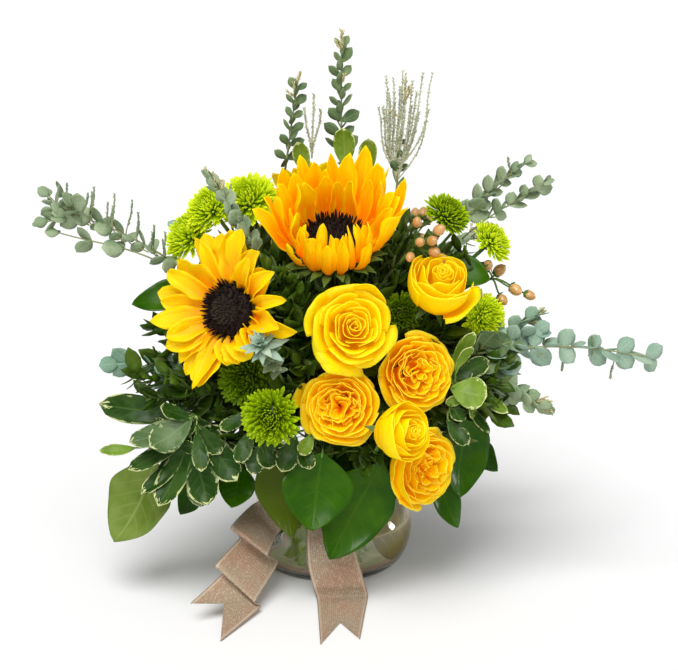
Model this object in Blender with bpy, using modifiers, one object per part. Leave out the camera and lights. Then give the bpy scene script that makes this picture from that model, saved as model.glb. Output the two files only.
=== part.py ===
"""Sunflower and rose arrangement in a squat glass bowl, at its real size.

Lengths are written in millimetres and each finished mesh is scaled to metres.
The origin is the middle of the bowl's underside, +Z is up and the front faces -Y.
A direction is given by its turn (degrees from the front towards +X) and its rise.
"""
import math
import random

import bmesh
import bpy
from mathutils import Matrix, Vector
from mathutils.bvhtree import BVHTree

SEED = 7
METRES = 0.001
GAP = 0.3               # between two pieces that touch
THIN = 0.9              # thickness of small leaves and petals
UP = Vector((0, 0, 1))

# Glass bowl: a flat foot, a round belly, a drawn-in neck and a flared rim.
FOOT_RADIUS = 56
BELLY_RADIUS = 75
BELLY_HEIGHT = 38
NECK_RADIUS = 47
NECK_HEIGHT = 96
RIM_RADIUS = 51
RIM_HEIGHT = 105
WALL = 3.5
FLOOR = 10
BOWL_STEPS = 22

# Ribbon: a band with a knot round the neck, and two tails that lie on the table.
BAND_INNER = ((50.7, 87), (47.45, 96), (49.05, 99))   # radius and height
BAND_THICK = 1.2
KNOT = (0, -56, 93)
KNOT_SIZE = (10, 7, 7)
RIBBON_THICK = 0.8
# Each row is the left and the right edge of the tail at one fold.
LEFT_TAIL = (
    ((-10.3, -55, 98), (-10.5, -57, 88)),
    ((-40, -62, 88), (-30, -66, 70)),
    ((-69, -52, 71), (-46, -66, 50)),
    ((-86, -88, 64), (-54, -104, 44)),
    ((-79, -81, 51), (-46, -80, 27)),
    ((-98, -118, 41), (-64, -128, 12)),
    ((-92, -112, 31), (-60, -125, 5)),
    ((-117, -148, 19), (-90, -182, 0.9)),
)
LEFT_NOTCH = (-90, -137, 14)
RIGHT_TAIL = (
    ((-8, -61.2, 87.8), (8, -61.2, 87.8)),
    ((-17, -74, 70), (12, -76, 70)),
    ((-20, -84, 52), (19, -84, 52)),
    ((-19, -90, 30), (26, -88, 28)),
    ((-14, -92, 8), (31, -87, 8)),
    ((-11, -98, 0.9), (33, -93, 0.9)),
    ((-9, -140, 0.9), (29, -136, 0.9)),
    ((-7, -188, 0.9), (25, -178, 0.9)),
)
RIGHT_NOTCH = (9, -146, 0.9)

# Stems: they stand fanned out on the bowl's floor and are tied in its neck.
TIE_RADIUS = 17
TIE_LOW = 84
TIE_HIGH = 112
BUNCH_RADIUS = 27       # where the packed stems part
BUNCH_HIGH = 140
STEM_RADIUS = 2.4
TWIG_RADIUS = 1.3
FOOT_STEMS = 8
FOOT_SPREAD = 31
FOOT_TWIST = 110

# Sunflowers: centre, turn, rise, disc radius, petal length, lean of the petals at the
# front, the side and the back of the cup (90 is flat), and how far they bow outwards.
SUNFLOWERS = {
    "sunflower_top": ((8, -60, 322), 0, 55, 26, 60, (8, 36, 24), 0.16),
    "sunflower_left": ((-83, -103, 263), -30, 14, 24, 46, (84, 78, 80), 0.05),
    "sunflower_back": ((-12, 92, 296), 172, 28, 25, 50, (62, 66, 60), 0.10),
}
PETALS = 10             # in each of two rings
PETAL_WIDTH = 22
DISC_HEIGHT = 9
RECEPTACLE = 10

# Roses: centre, turn, rise and radius.
ROSES = {
    "rose_upper": ((20, -118, 252), 6, 22, 36),
    "rose_side": ((92, -84, 279), 12, 42, 28),
    "rose_middle": ((75, -103, 209), 20, 15, 33),
    "rose_lower_left": ((9, -122, 184), -6, 12, 33),
    "rose_bud": ((60, -153, 173), 25, 10, 25),
    "rose_low": ((82, -114, 128), 30, -6, 33),
    "rose_back_right": ((72, 96, 232), 140, 20, 33),
    "rose_back_left": ((-88, 88, 200), 218, 16, 33),
}

# Button chrysanthemums: centre, turn, rise and radius.
MUMS = {
    "mum_top": ((-70, 0, 343), -20, 48, 21),
    "mum_top_left": ((-102, -32, 335), -45, 45, 18),
    "mum_left": ((-122, -6, 306), -60, 40, 20),
    "mum_right_top": ((101, -28, 329), 40, 50, 19),
    "mum_right_far": ((141, -18, 303), 55, 40, 18),
    "mum_right_low": ((133, -42, 241), 35, 15, 20),
    "mum_deep": ((62, -55, 248), 15, 10, 17),
    "mum_front_deep": ((-70, -98, 201), -15, 8, 22),
    "mum_front": ((-48, -138, 181), -10, 6, 22),
    "mum_back": ((-30, 118, 216), 190, 14, 22),
}
MUM_DEPTH = 0.62
MUM_POINTS = 6

# Berry clusters: where the stalk enters, and the middle and radius of the cluster.
BERRIES = {
    "berries_right": ((66, -52, 300), (78, -70, 316), 20),
    "berries_far_right": ((136, -8, 266), (152, -22, 274), 20),
    "berries_back": ((72, 70, 282), (84, 92, 292), 20),
}
BERRY_COUNT = 6
BERRY_RADIUS = 5.2

# Eucalyptus sprays: foot, tip, leaf length, number of leaf pairs.
EUCALYPTUS = {
    "eucalyptus_top": ((10, 18, 372), (10, 20, 487), 19, 6),
    "eucalyptus_top_left": ((-40, 18, 360), (-27, 20, 447), 18, 4),
    "eucalyptus_top_right": ((59, 18, 342), (67, 20, 446), 16, 4),
    "eucalyptus_far_left": ((-128, -30, 282), (-248, -10, 334), 20, 5),
    "eucalyptus_mid_left": ((-58, -84, 306), (-105, -80, 381), 18, 4),
    "eucalyptus_right_top": ((112, -6, 314), (175, 0, 374), 19, 4),
    "eucalyptus_right": ((128, -62, 214), (284, -62, 211), 19, 6),
    "eucalyptus_right_mid": ((136, -46, 214), (190, -38, 248), 16, 3),
    "eucalyptus_right_low": ((136, -66, 186), (196, -72, 163), 16, 3),
    "eucalyptus_low_left": ((-120, -72, 192), (-190, -80, 213), 17, 3),
    "eucalyptus_back_left": ((-92, 58, 262), (-150, 132, 292), 20, 4),
    "eucalyptus_back_right": ((92, 56, 256), (150, 132, 286), 20, 4),
    "eucalyptus_back_low": ((110, 66, 176), (196, 118, 168), 18, 4),
}

TUFT = ((-42, -116, 212), (-51, -150, 246), 16, 3)

# Broad leaves: the spray's foot, then foot, tip, width and turn of each leaf's face.
BROAD_LEAVES = {
    "broad_left_top": ((-96, -34, 248), (((-118, -32, 268), (-172, -42, 253), 28, -20),)),
    "broad_right_top": ((88, -16, 282), (
        ((100, -34, 292), (138, -48, 276), 28, 20),
        ((96, -30, 268), (108, -52, 258), 24, 10),
    )),
    "broad_left_low": ((-92, -52, 122), (
        ((-146, -66, 118), (-178, -92, 50), 64, -28),
        ((-78, -88, 122), (-84, -108, 90), 32, -15),
        ((-118, -40, 104), (-134, -52, 62), 40, -50),
    )),
    "broad_front": ((-6, -78, 126), (
        ((-56, -108, 136), (-32, -116, 66), 38, -20),
        ((-6, -122, 144), (-15, -134, 79), 60, 5),
        ((46, -112, 132), (0, -122, 48), 58, 12),
    )),
    "broad_right_low": ((86, -46, 122), (
        ((112, -66, 148), (124, -74, 80), 46, 30),
        ((96, -74, 108), (112, -84, 62), 26, 20),
        ((120, -30, 132), (150, -38, 98), 40, 50),
    )),
    "broad_back": ((0, 66, 128), (
        ((-58, 94, 152), (-84, 126, 84), 56, 206),
        ((4, 110, 152), (10, 138, 80), 60, 180),
        ((70, 88, 146), (104, 112, 80), 56, 145),
    )),
}

BROAD_BOW = 0.07

# Variegated sprays: foot, middle of the rosette, turn, rise, leaf length, leaves.
VARIEGATED = {
    "variegated_left": ((-98, -74, 140), (-131, -100, 146), -30, 10, 62, 12),
    "variegated_front_left": ((-44, -92, 148), (-52, -118, 152), -15, 5, 30, 6),
    "variegated_right": ((108, -74, 178), (120, -92, 186), 35, 10, 34, 6),
    "variegated_top": ((16, -14, 352), (20, -10, 366), 0, 80, 34, 6),
    "variegated_back": ((-10, 104, 156), (-14, 128, 168), 180, 20, 42, 8),
}

# Fine greenery between the flowers: foot, reach, turns of its fronds, rise.
FERNS = {
    "fern_front": ((0, -30, 150), 124, (-72, -38, 28, 66), (12, 42)),
    "fern_back": ((0, 32, 150), 132, (112, 180, 248), (8, 40)),
}

FERN_LEAVES = 3

COLOURS = {
    "clear_glass": ((0.86, 0.92, 0.90), 0.05),
    "woven_ribbon": ((0.42, 0.27, 0.19), 0.55),
    "green_stem": ((0.12, 0.24, 0.05), 0.55),
    "sunflower_petal": ((0.95, 0.55, 0.02), 0.50),
    "sunflower_disc": ((0.03, 0.015, 0.01), 0.85),
    "rose_petal": ((0.93, 0.60, 0.03), 0.50),
    "mum_lime": ((0.42, 0.62, 0.02), 0.55),
    "berry_peach": ((0.55, 0.24, 0.10), 0.35),
    "eucalyptus_leaf": ((0.16, 0.28, 0.22), 0.60),
    "broad_leaf": ((0.04, 0.16, 0.03), 0.30),
    "variegated_leaf": ((0.14, 0.30, 0.10), 0.45),
    "fern_leaf": ((0.07, 0.17, 0.04), 0.60),
}

placed = []             # search trees of the finished pieces, for keeping leaves clear


def clear_scene():
    """Remove every object that the file opened with."""
    for obj in list(bpy.data.objects):
        bpy.data.objects.remove(obj)


def make_material(name):
    """A plain Principled material in one of the arrangement's colours."""
    material = bpy.data.materials.get(name)
    if material:
        return material
    colour, roughness = COLOURS[name]
    material = bpy.data.materials.new(name)
    material.use_nodes = True
    shader = material.node_tree.nodes["Principled BSDF"]
    shader.inputs["Base Color"].default_value = (*colour, 1)
    shader.inputs["Roughness"].default_value = roughness
    if name == "clear_glass":
        shader.inputs["Transmission Weight"].default_value = 1
    return material


def heading(turn, rise):
    """Unit vector of a turn from the front and a rise above the horizontal."""
    turn, rise = math.radians(turn), math.radians(rise)
    return Vector((
        math.sin(turn) * math.cos(rise),
        -math.cos(turn) * math.cos(rise),
        math.sin(rise),
    ))


def basis(axis):
    """Rotation whose Z column is the axis and whose Y column leans upwards."""
    z = axis.normalized()
    x = UP.cross(z)
    if x.length < 1e-3:
        x = Vector((1, 0, 0))
    x.normalize()
    return Matrix((x, z.cross(x), z)).transposed()


def placed_at(bm, centre, axis):
    """Move a piece modelled on +Z at the origin to its centre and axis."""
    bmesh.ops.transform(bm, matrix=basis(axis).to_4x4(), verts=bm.verts)
    bmesh.ops.translate(bm, vec=Vector(centre), verts=bm.verts)
    return bm


def ball(radii, centre, u_segments=6, v_segments=4):
    """A ball stretched to three radii."""
    bm = bmesh.new()
    bmesh.ops.create_uvsphere(bm, u_segments=u_segments, v_segments=v_segments, radius=1)
    bmesh.ops.scale(bm, vec=Vector(radii), verts=bm.verts)
    bmesh.ops.translate(bm, vec=Vector(centre), verts=bm.verts)
    return bm


def drum(low_radius, high_radius, depth, segments=8):
    """A cone frustum on +Z whose top is at the origin."""
    bm = bmesh.new()
    bmesh.ops.create_cone(bm, cap_ends=True, segments=segments, radius1=low_radius,
                          radius2=high_radius, depth=depth)
    bmesh.ops.translate(bm, vec=Vector((0, 0, -depth / 2)), verts=bm.verts)
    return bm


def blade(foot, tip, face, width, thickness=THIN, rings=3, widest=0.5, fold=0.0, bow=0.0):
    """A leaf or petal: a four-sided ball drawn out from its foot to its tip.

    widest is the place of the greatest width, fold lifts the edges off the midrib and
    bow pushes the middle out along the face by that share of the length.
    """
    foot, tip = Vector(foot), Vector(tip)
    along = tip - foot
    side = along.cross(face).normalized()
    out = side.cross(along).normalized()
    power = math.log(0.5) / math.log(widest)
    bm = bmesh.new()
    bmesh.ops.create_uvsphere(bm, u_segments=4, v_segments=rings + 1, radius=1)
    for vert in bm.verts:
        t = math.acos(max(-1, min(1, vert.co.z))) / math.pi
        reach = math.hypot(vert.co.x, vert.co.y)
        across, lift = (vert.co.x / reach, vert.co.y / reach) if reach > 1e-4 else (0, 0)
        half = width / 2 * math.sin(math.pi * t ** power)
        height = bow * along.length * 4 * t * (1 - t)
        height += fold * abs(across) * half + lift * thickness / 2
        vert.co = foot + along * t + side * (across * half) + out * height
    return bm


def tube(points, radii):
    """A closed four-sided tube through the points, from a bevelled curve."""
    curve = bpy.data.curves.new("route", "CURVE")
    curve.dimensions = "3D"
    curve.bevel_depth = 1
    curve.bevel_resolution = 0
    curve.use_fill_caps = True
    spline = curve.splines.new("POLY")
    spline.points.add(len(points) - 1)
    for point, place, radius in zip(spline.points, points, radii):
        point.co = (*place, 1)
        point.radius = radius
    route = bpy.data.objects.new("route", curve)
    bpy.context.scene.collection.objects.link(route)
    depsgraph = bpy.context.evaluated_depsgraph_get()
    mesh = bpy.data.meshes.new_from_object(route.evaluated_get(depsgraph))
    bpy.data.objects.remove(route)
    bm = bmesh.new()
    bm.from_mesh(mesh)
    bmesh.ops.remove_doubles(bm, verts=bm.verts, dist=0.001)
    return bm


def bent(start, start_way, end, end_way, steps, pull=0.4):
    """Points of a smooth bend that leaves and arrives along the two given ways."""
    start, end = Vector(start), Vector(end)
    reach = (end - start).length * pull
    first, second = start + Vector(start_way) * reach, end - Vector(end_way) * reach
    points = []
    for step in range(steps + 1):
        t = 1 - (1 - step / steps) ** 1.5
        points.append(start * (1 - t) ** 3 + first * (3 * t * (1 - t) ** 2)
                      + second * (3 * t * t * (1 - t)) + end * t ** 3)
    return points


def tapered(points, start_radius, end_radius):
    """Tube through the points with an even taper."""
    last = len(points) - 1
    radii = [start_radius + (end_radius - start_radius) * i / last for i in range(last + 1)]
    return tube(points, radii)


def search_tree(bm, grow=0.0):
    """Search tree of a mesh, grown outwards by some distance, and its box."""
    bm.normal_update()
    bm.verts.index_update()
    points = [vert.co + vert.normal * grow for vert in bm.verts]
    tree = BVHTree.FromPolygons(points, [[v.index for v in f.verts] for f in bm.faces])
    low = Vector([min(point[i] for point in points) for i in range(3)])
    high = Vector([max(point[i] for point in points) for i in range(3)])
    return tree, low, high, points[0]


def inside(tree, point):
    """Whether a point lies inside a closed mesh, by the crossings of one ray."""
    ray = Vector((0.31, 0.17, 0.93)).normalized()
    crossings = 0
    place, _, _, _ = tree.ray_cast(point, ray)
    while place:
        crossings += 1
        place, _, _, _ = tree.ray_cast(place + ray * 0.01, ray)
    return crossings % 2 == 1


def is_clear(bm):
    """Whether a piece keeps clear of all that is placed."""
    tree, low, high, point = search_tree(bm, 0.6)
    for other, other_low, other_high, _ in placed:
        if any(low[i] > other_high[i] or high[i] < other_low[i] for i in range(3)):
            continue
        if tree.overlap(other) or inside(other, point):
            return False
    return True


def keep_clear_ones(pieces):
    """Those of the pieces that touch nothing placed so far."""
    return [piece for piece in pieces if is_clear(piece)]


def drop_scraps(bm):
    """Keep only the largest connected body of a mesh."""
    groups, left = [], set(bm.verts)
    while left:
        group, edge = set(), [left.pop()]
        while edge:
            vert = edge.pop()
            group.add(vert)
            for link in vert.link_edges:
                other = link.other_vert(vert)
                if other in left:
                    left.remove(other)
                    edge.append(other)
        groups.append(group)
    groups.sort(key=len)
    for group in groups[:-1]:
        bmesh.ops.delete(bm, geom=list(group), context="VERTS")


def to_object(name, bm, collection):
    """Object of a mesh still in millimetres; the mesh data takes over from the bmesh."""
    mesh = bpy.data.meshes.new(name)
    bm.to_mesh(mesh)
    bm.free()
    obj = bpy.data.objects.new(name, mesh)
    collection.objects.link(obj)
    return obj


def union_of(pieces, split):
    """Boolean union on a collection; split cuts the pieces' faces to triangles first."""
    scene_collection = bpy.context.scene.collection
    joined = bpy.data.collections.new("joined")
    scene_collection.children.link(joined)
    copies = [piece.copy() for piece in pieces]
    if split:
        for piece in copies:
            bmesh.ops.triangulate(piece, faces=piece.faces)
    base = to_object("base", copies[0], scene_collection)
    for piece in copies[1:]:
        to_object("piece", piece, joined)
    union = base.modifiers.new("union", "BOOLEAN")
    union.operation = "UNION"
    union.operand_type = "COLLECTION"
    union.collection = joined
    union.solver = "MANIFOLD"
    depsgraph = bpy.context.evaluated_depsgraph_get()
    mesh = bpy.data.meshes.new_from_object(base.evaluated_get(depsgraph))
    for obj in list(joined.objects) + [base]:
        bpy.data.objects.remove(obj)
    bpy.data.collections.remove(joined)
    bm = bmesh.new()
    bm.from_mesh(mesh)
    drop_scraps(bm)
    bmesh.ops.triangulate(bm, faces=bm.faces)
    return bm


def fuse(pieces):
    """One closed body from overlapping closed pieces."""
    bm = union_of(pieces, False)
    if any(len(edge.link_faces) != 2 for edge in bm.edges):
        bm = union_of(pieces, True)
    return bm


def finish(name, bm, material):
    """Place a finished piece in the arrangement, in metres."""
    placed.append(search_tree(bm))
    bmesh.ops.scale(bm, vec=Vector((METRES,) * 3), verts=bm.verts)
    obj = to_object(name, bm, arrangement)
    obj.data.materials.append(make_material(material))
    obj.data.shade_smooth()
    obj.data.set_sharp_from_angle(angle=math.radians(35))
    return obj


def turned(name, profile, steps):
    """A solid turned round +Z from a closed profile of radius and height."""
    bm = bmesh.new()
    verts = [bm.verts.new((radius, 0, height)) for radius, height in profile]
    for first, second in zip(verts, verts[1:]):
        bm.edges.new((first, second))
    if profile[0][0] > 0:
        bm.edges.new((verts[-1], verts[0]))
    obj = to_object(name, bm, bpy.context.scene.collection)
    screw = obj.modifiers.new("turn", "SCREW")
    screw.steps = steps
    screw.render_steps = steps
    screw.use_merge_vertices = True
    screw.merge_threshold = 0.0001
    depsgraph = bpy.context.evaluated_depsgraph_get()
    mesh = bpy.data.meshes.new_from_object(obj.evaluated_get(depsgraph))
    bpy.data.objects.remove(obj)
    solid = bmesh.new()
    solid.from_mesh(mesh)
    bmesh.ops.remove_doubles(solid, verts=solid.verts, dist=0.001)
    return solid


def neck_radius(height):
    """Outer radius of the bowl between its belly and its neck."""
    rise = (height - BELLY_HEIGHT) / (NECK_HEIGHT - BELLY_HEIGHT)
    return NECK_RADIUS + (BELLY_RADIUS - NECK_RADIUS) * (1 + math.cos(math.pi * rise)) / 2


def build_bowl():
    """Thick-footed glass bowl, open at the top."""
    inner, outer = [(0, FLOOR)], []
    for step in range(4):
        angle = math.radians(90 * step / 3)
        reach, lift = math.sin(angle), 1 - math.cos(angle)
        outer.append((FOOT_RADIUS + (BELLY_RADIUS - FOOT_RADIUS) * reach, BELLY_HEIGHT * lift))
        foot = FOOT_RADIUS - 8
        belly = BELLY_RADIUS - WALL
        inner.append((foot + (belly - foot) * reach, FLOOR + (BELLY_HEIGHT - FLOOR) * lift))
    for step in range(1, 4):
        height = BELLY_HEIGHT + (NECK_HEIGHT - BELLY_HEIGHT) * step / 3
        outer.append((neck_radius(height), height))
        inner.append((neck_radius(height) - WALL, height))
    rim = [(RIM_RADIUS - WALL, RIM_HEIGHT - 1), (RIM_RADIUS - WALL / 2, RIM_HEIGHT),
           (RIM_RADIUS, RIM_HEIGHT - 1.5)]
    profile = inner + rim + outer[::-1] + [(0, 0)]
    finish("glass_bowl", turned("bowl", profile, BOWL_STEPS), "clear_glass")


def build_band():
    """Ribbon band round the neck with its knot at the front."""
    outer = [(radius + BAND_THICK, height) for radius, height in BAND_INNER]
    profile = list(BAND_INNER) + outer[::-1]
    band = turned("band", profile, BOWL_STEPS)
    knot = ball(KNOT_SIZE, KNOT, 8, 4)
    finish("ribbon_band", fuse([band, knot]), "woven_ribbon")


def build_tail(name, rows, notch):
    """Ribbon tail from its rows of edge points, with a swallow-tail end."""
    bm = bmesh.new()
    grid = []
    for left, right in rows:
        left, right = Vector(left), Vector(right)
        middle = (left + right) / 2
        grid.append([bm.verts.new(place) for place in (left, middle, right)])
    grid[-1][1].co = Vector(notch)
    for upper, lower in zip(grid, grid[1:]):
        for column in range(2):
            bm.faces.new((upper[column], lower[column], lower[column + 1], upper[column + 1]))
    bmesh.ops.recalc_face_normals(bm, faces=bm.faces)
    obj = to_object(name, bm, bpy.context.scene.collection)
    shell = obj.modifiers.new("shell", "SOLIDIFY")
    shell.thickness = RIBBON_THICK
    shell.offset = 0
    depsgraph = bpy.context.evaluated_depsgraph_get()
    mesh = bpy.data.meshes.new_from_object(obj.evaluated_get(depsgraph))
    bpy.data.objects.remove(obj)
    solid = bmesh.new()
    solid.from_mesh(mesh)
    bmesh.ops.triangulate(solid, faces=solid.faces)
    finish(name, solid, "woven_ribbon")


def stem_ends():
    """Place, way and end shape of every stem: flowers, then berries and greenery."""
    ends = []
    for centre, turn, rise, disc, _, _, _ in SUNFLOWERS.values():
        way = heading(turn, rise)
        ends.append((Vector(centre) - way * (RECEPTACLE / 2 + GAP), way, "sunflower", disc))
    for centre, turn, rise, radius in ROSES.values():
        way = heading(turn, rise)
        ends.append((Vector(centre) - way * (radius * 0.86 + GAP), way, "rose", radius))
    for centre, turn, rise, radius in MUMS.values():
        way = heading(turn, rise)
        ends.append((Vector(centre) - way * (radius * MUM_DEPTH + GAP), way, "mum", radius))
    for foot, middle, _ in BERRIES.values():
        way = (Vector(middle) - Vector(foot)).normalized()
        ends.append((Vector(foot) - way * GAP, way, "twig", 0))
    for foot, tip, _, _ in list(EUCALYPTUS.values()) + [TUFT]:
        way = (Vector(tip) - Vector(foot)).normalized()
        ends.append((Vector(foot) - way * GAP, way, "twig", 0))
    for foot, middle, _, _, _, _ in VARIEGATED.values():
        way = (Vector(middle) - Vector(foot)).normalized()
        ends.append((Vector(foot) - way * GAP, way, "twig", 0))
    for foot in [leaves[0] for leaves in BROAD_LEAVES.values()] + [fern[0] for fern in FERNS.values()]:
        way = outward(foot)
        ends.append((Vector(foot) - way * GAP, way, "spur", 0))
    return ends


def outward(place):
    """Way from the arrangement's axis out and a little up through a place."""
    place = Vector((place[0], place[1], 0)).normalized()
    return (place + UP * 0.5).normalized()


def build_stems():
    """All stems in one body: cut ends in the bowl, the tie, and a stem to each piece."""
    tie = drum(TIE_RADIUS, TIE_RADIUS, TIE_HIGH - TIE_LOW, 8)
    bmesh.ops.translate(tie, vec=Vector((0, 0, TIE_HIGH)), verts=tie.verts)
    bunch = drum(TIE_RADIUS * 0.98, BUNCH_RADIUS, BUNCH_HIGH - TIE_HIGH + 2, 10)
    bmesh.ops.translate(bunch, vec=Vector((0, 0, BUNCH_HIGH)), verts=bunch.verts)
    pieces = [tie, bunch]
    golden = math.radians(137.5)
    for index in range(FOOT_STEMS):
        share = math.sqrt((index + 0.5) / FOOT_STEMS)
        angle = index * golden
        top = Vector((math.cos(angle), math.sin(angle), 0)) * (share * TIE_RADIUS * 0.8)
        angle += math.radians(FOOT_TWIST)
        low = Vector((math.cos(angle), math.sin(angle), 0)) * (share * FOOT_SPREAD)
        points = [low + UP * (FLOOR + GAP + 0.9 * share), (low * 0.62 + top * 0.38) + UP * 48,
                  top + UP * (TIE_LOW + 4)]
        pieces.append(tapered(points, STEM_RADIUS, STEM_RADIUS))
    for place, way, kind, radius in stem_ends():
        flat = Vector((place.x, place.y, 0))
        share = min(1, flat.length / 90)
        start = flat.normalized() * (share * BUNCH_RADIUS * 0.75) + UP * (BUNCH_HIGH - 6)
        thick = TWIG_RADIUS if kind in ("twig", "spur") else STEM_RADIUS
        end = place
        if kind == "rose":
            cup = drum(3, radius * 0.3, 9, 6)
            pieces.append(placed_at(cup, end, way))
            end = place - way * 6
        elif kind == "mum":
            cup = drum(4, radius * 0.5, 5, 6)
            pieces.append(placed_at(cup, end, way))
            end = place - way * 3
        elif kind == "sunflower":
            cup = drum(6, radius * 0.95, RECEPTACLE, 10)
            pieces.append(placed_at(cup, end, way))
            end = place - way * (RECEPTACLE - 2)
        steps = 2 if kind == "twig" else 3
        points = bent(start, (UP + flat.normalized() * share).normalized(), end, way, steps)
        pieces.append(tapered(points, thick * 1.15, thick))
    finish("stems", fuse(pieces), "green_stem")


def build_sunflower(name, centre, turn, rise, disc, length, leans, bow):
    """Ray petals on their plate, and the dark disc in front of it."""
    random.seed(SEED + len(name))
    way = heading(turn, rise)
    plate = drum(disc * 0.95, disc, RECEPTACLE / 2, 12)
    pieces = []
    front, side, back = leans
    for ring in range(2):
        for index in range(PETALS):
            angle = 2 * math.pi * (index + ring / 2) / PETALS
            radial = Vector((math.cos(angle), math.sin(angle), 0))
            toward_front = -math.sin(angle)
            ends_lean = front if toward_front > 0 else back
            lean = side + (ends_lean - side) * abs(toward_front) ** 1.5
            lean = math.radians(lean + ring * 7 + random.uniform(-6, 6))
            reach = length * random.uniform(0.86, 1.08)
            foot = radial * (disc - 1.5) + UP * -(1.2 + ring * 2)
            ray = radial * math.sin(lean) + UP * math.cos(lean)
            face = UP * math.sin(lean) - radial * math.cos(lean)
            width = PETAL_WIDTH * random.uniform(0.85, 1.1)
            petal = blade(foot, foot + ray * reach, face, width, 1.0, 2, 0.55, 0.25, -bow)
            pieces.append(petal)
    pieces = [placed_at(piece, centre, way) for piece in pieces]
    pieces = [placed_at(plate, centre, way)] + keep_clear_ones(pieces)
    finish(name + "_petals", fuse(pieces), "sunflower_petal")
    dome = ball((disc - 4, disc - 4, DISC_HEIGHT), (0, 0, GAP), 12, 6)
    bmesh.ops.bisect_plane(dome, geom=list(dome.verts) + list(dome.edges) + list(dome.faces),
                           plane_co=(0, 0, GAP), plane_no=(0, 0, 1), clear_inner=True)
    rim = [edge for edge in dome.edges if edge.is_boundary]
    bmesh.ops.contextual_create(dome, geom=rim)
    finish(name + "_disc", placed_at(dome, centre, way), "sunflower_disc")


def build_rose(name, centre, turn, rise, radius):
    """Rose head: a heart with two rings of cupped petals round it."""
    random.seed(SEED + len(name))
    heart = ball((radius * 0.58, radius * 0.58, radius * 0.66), (0, 0, -radius * 0.2), 6, 4)
    pieces = [heart]
    rings = ((5, 1.04, -0.02, 1.1, 0.12), (3, 0.66, 0.30, 0.95, 0.2))
    for ring, (count, reach, height, width, fold) in enumerate(rings):
        for index in range(count):
            angle = 2 * math.pi * (index + ring * 0.5) / count + random.uniform(-0.1, 0.1)
            radial = Vector((math.cos(angle), math.sin(angle), 0))
            foot = radial * (radius * 0.2) + UP * (-radius * 0.7)
            tip = radial * (radius * reach) + UP * (radius * (height + random.uniform(-0.04, 0.04)))
            face = UP - radial
            petal = blade(foot, tip, face, radius * width, 1.6, 2, 0.62, fold, -0.14)
            pieces.append(petal)
    pieces = [placed_at(piece, centre, heading(turn, rise)) for piece in pieces]
    finish(name, fuse(pieces[:1] + keep_clear_ones(pieces[1:])), "rose_petal")


def build_mum(name, centre, turn, rise, radius):
    """Button chrysanthemum: a flattened ball whose meridians stand out by turns."""
    bm = ball((radius, radius, radius * MUM_DEPTH), (0, 0, 0), MUM_POINTS * 2, 5)
    for vert in bm.verts:
        angle = math.atan2(vert.co.y, vert.co.x)
        notch = 0.92 + 0.1 * math.cos(angle * MUM_POINTS)
        vert.co.x *= notch
        vert.co.y *= notch
    finish(name, placed_at(bm, centre, heading(turn, rise)), "mum_lime")


def build_berries(name, foot, middle, radius):
    """Cluster of round berries, each on its stalk from one short stem."""
    random.seed(SEED + len(name))
    foot, middle = Vector(foot), Vector(middle)
    way = (middle - foot).normalized()
    start = foot + way * GAP
    fork = foot + (middle - foot) * 0.4
    pieces = [tapered([start, fork], TWIG_RADIUS, 1.1)]
    for index in range(BERRY_COUNT):
        spot = Vector([random.uniform(-1, 1) for _ in range(3)])
        spot = middle + spot.normalized() * radius * (0.5 + 0.5 * index / BERRY_COUNT)
        berry = ball((BERRY_RADIUS, BERRY_RADIUS, BERRY_RADIUS * 1.15), spot, 6, 3)
        stalk = tapered([fork - way, spot], 0.8, 0.8)
        if is_clear(berry) and is_clear(stalk):
            pieces += [stalk, berry]
    finish(name, fuse(pieces), "berry_peach")


def build_eucalyptus(name, foot, tip, leaf, pairs):
    """Spray of paired oval leaves along one stem, crosswise in turn."""
    random.seed(SEED + len(name))
    foot, tip = Vector(foot), Vector(tip)
    way = (tip - foot).normalized()
    frame = basis(way)
    points = [foot + way * GAP, foot.lerp(tip, 0.35), foot.lerp(tip, 0.7), tip - way * leaf * 0.5]
    pieces = [tapered(points, TWIG_RADIUS, 0.8)]
    leaves = [blade(tip - way * leaf, tip, frame.col[1], leaf * 0.5, THIN, 1)]
    for index in range(pairs):
        share = (index + 0.8) / (pairs + 0.3)
        spot = foot.lerp(tip - way * leaf * 0.6, share)
        size = leaf * (1.1 - 0.45 * share) * random.uniform(0.9, 1.1)
        turn = math.radians(90 * (index % 2) + random.uniform(-25, 25))
        for half in range(2):
            angle = turn + math.pi * half
            side = frame.col[0] * math.cos(angle) + frame.col[1] * math.sin(angle)
            ray = (side * 0.86 + way * 0.5).normalized()
            face = way * 0.86 - side * 0.5
            leaves.append(blade(spot, spot + ray * size, face, size * 0.8, THIN, 1))
    finish(name, fuse(pieces + keep_clear_ones(leaves)), "eucalyptus_leaf")


def build_broad(name, foot, leaves):
    """Broad drooping leaves on twigs from one short stem."""
    foot = Vector(foot)
    way = outward(foot)
    hub = foot + way * 6
    pieces = [tapered([foot + way * GAP, hub + way * 2], TWIG_RADIUS, TWIG_RADIUS)]
    for start, tip, width, turn in leaves:
        start, tip = Vector(start), Vector(tip)
        run, length = (tip - start).normalized(), (tip - start).length
        face = heading(turn, 25)
        out = run.cross(face).cross(run).normalized()
        seat = start + run * (length * 0.1) + out * (BROAD_BOW * length * 0.36)
        twig = tapered(bent(hub - way, way, seat, run, 2), TWIG_RADIUS, 1.2)
        leaf = blade(start, tip, face, width, length * 0.016, 3, 0.46, -0.12, BROAD_BOW)
        pieces += [twig, leaf]
    finish(name, fuse(pieces), "broad_leaf")


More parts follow.
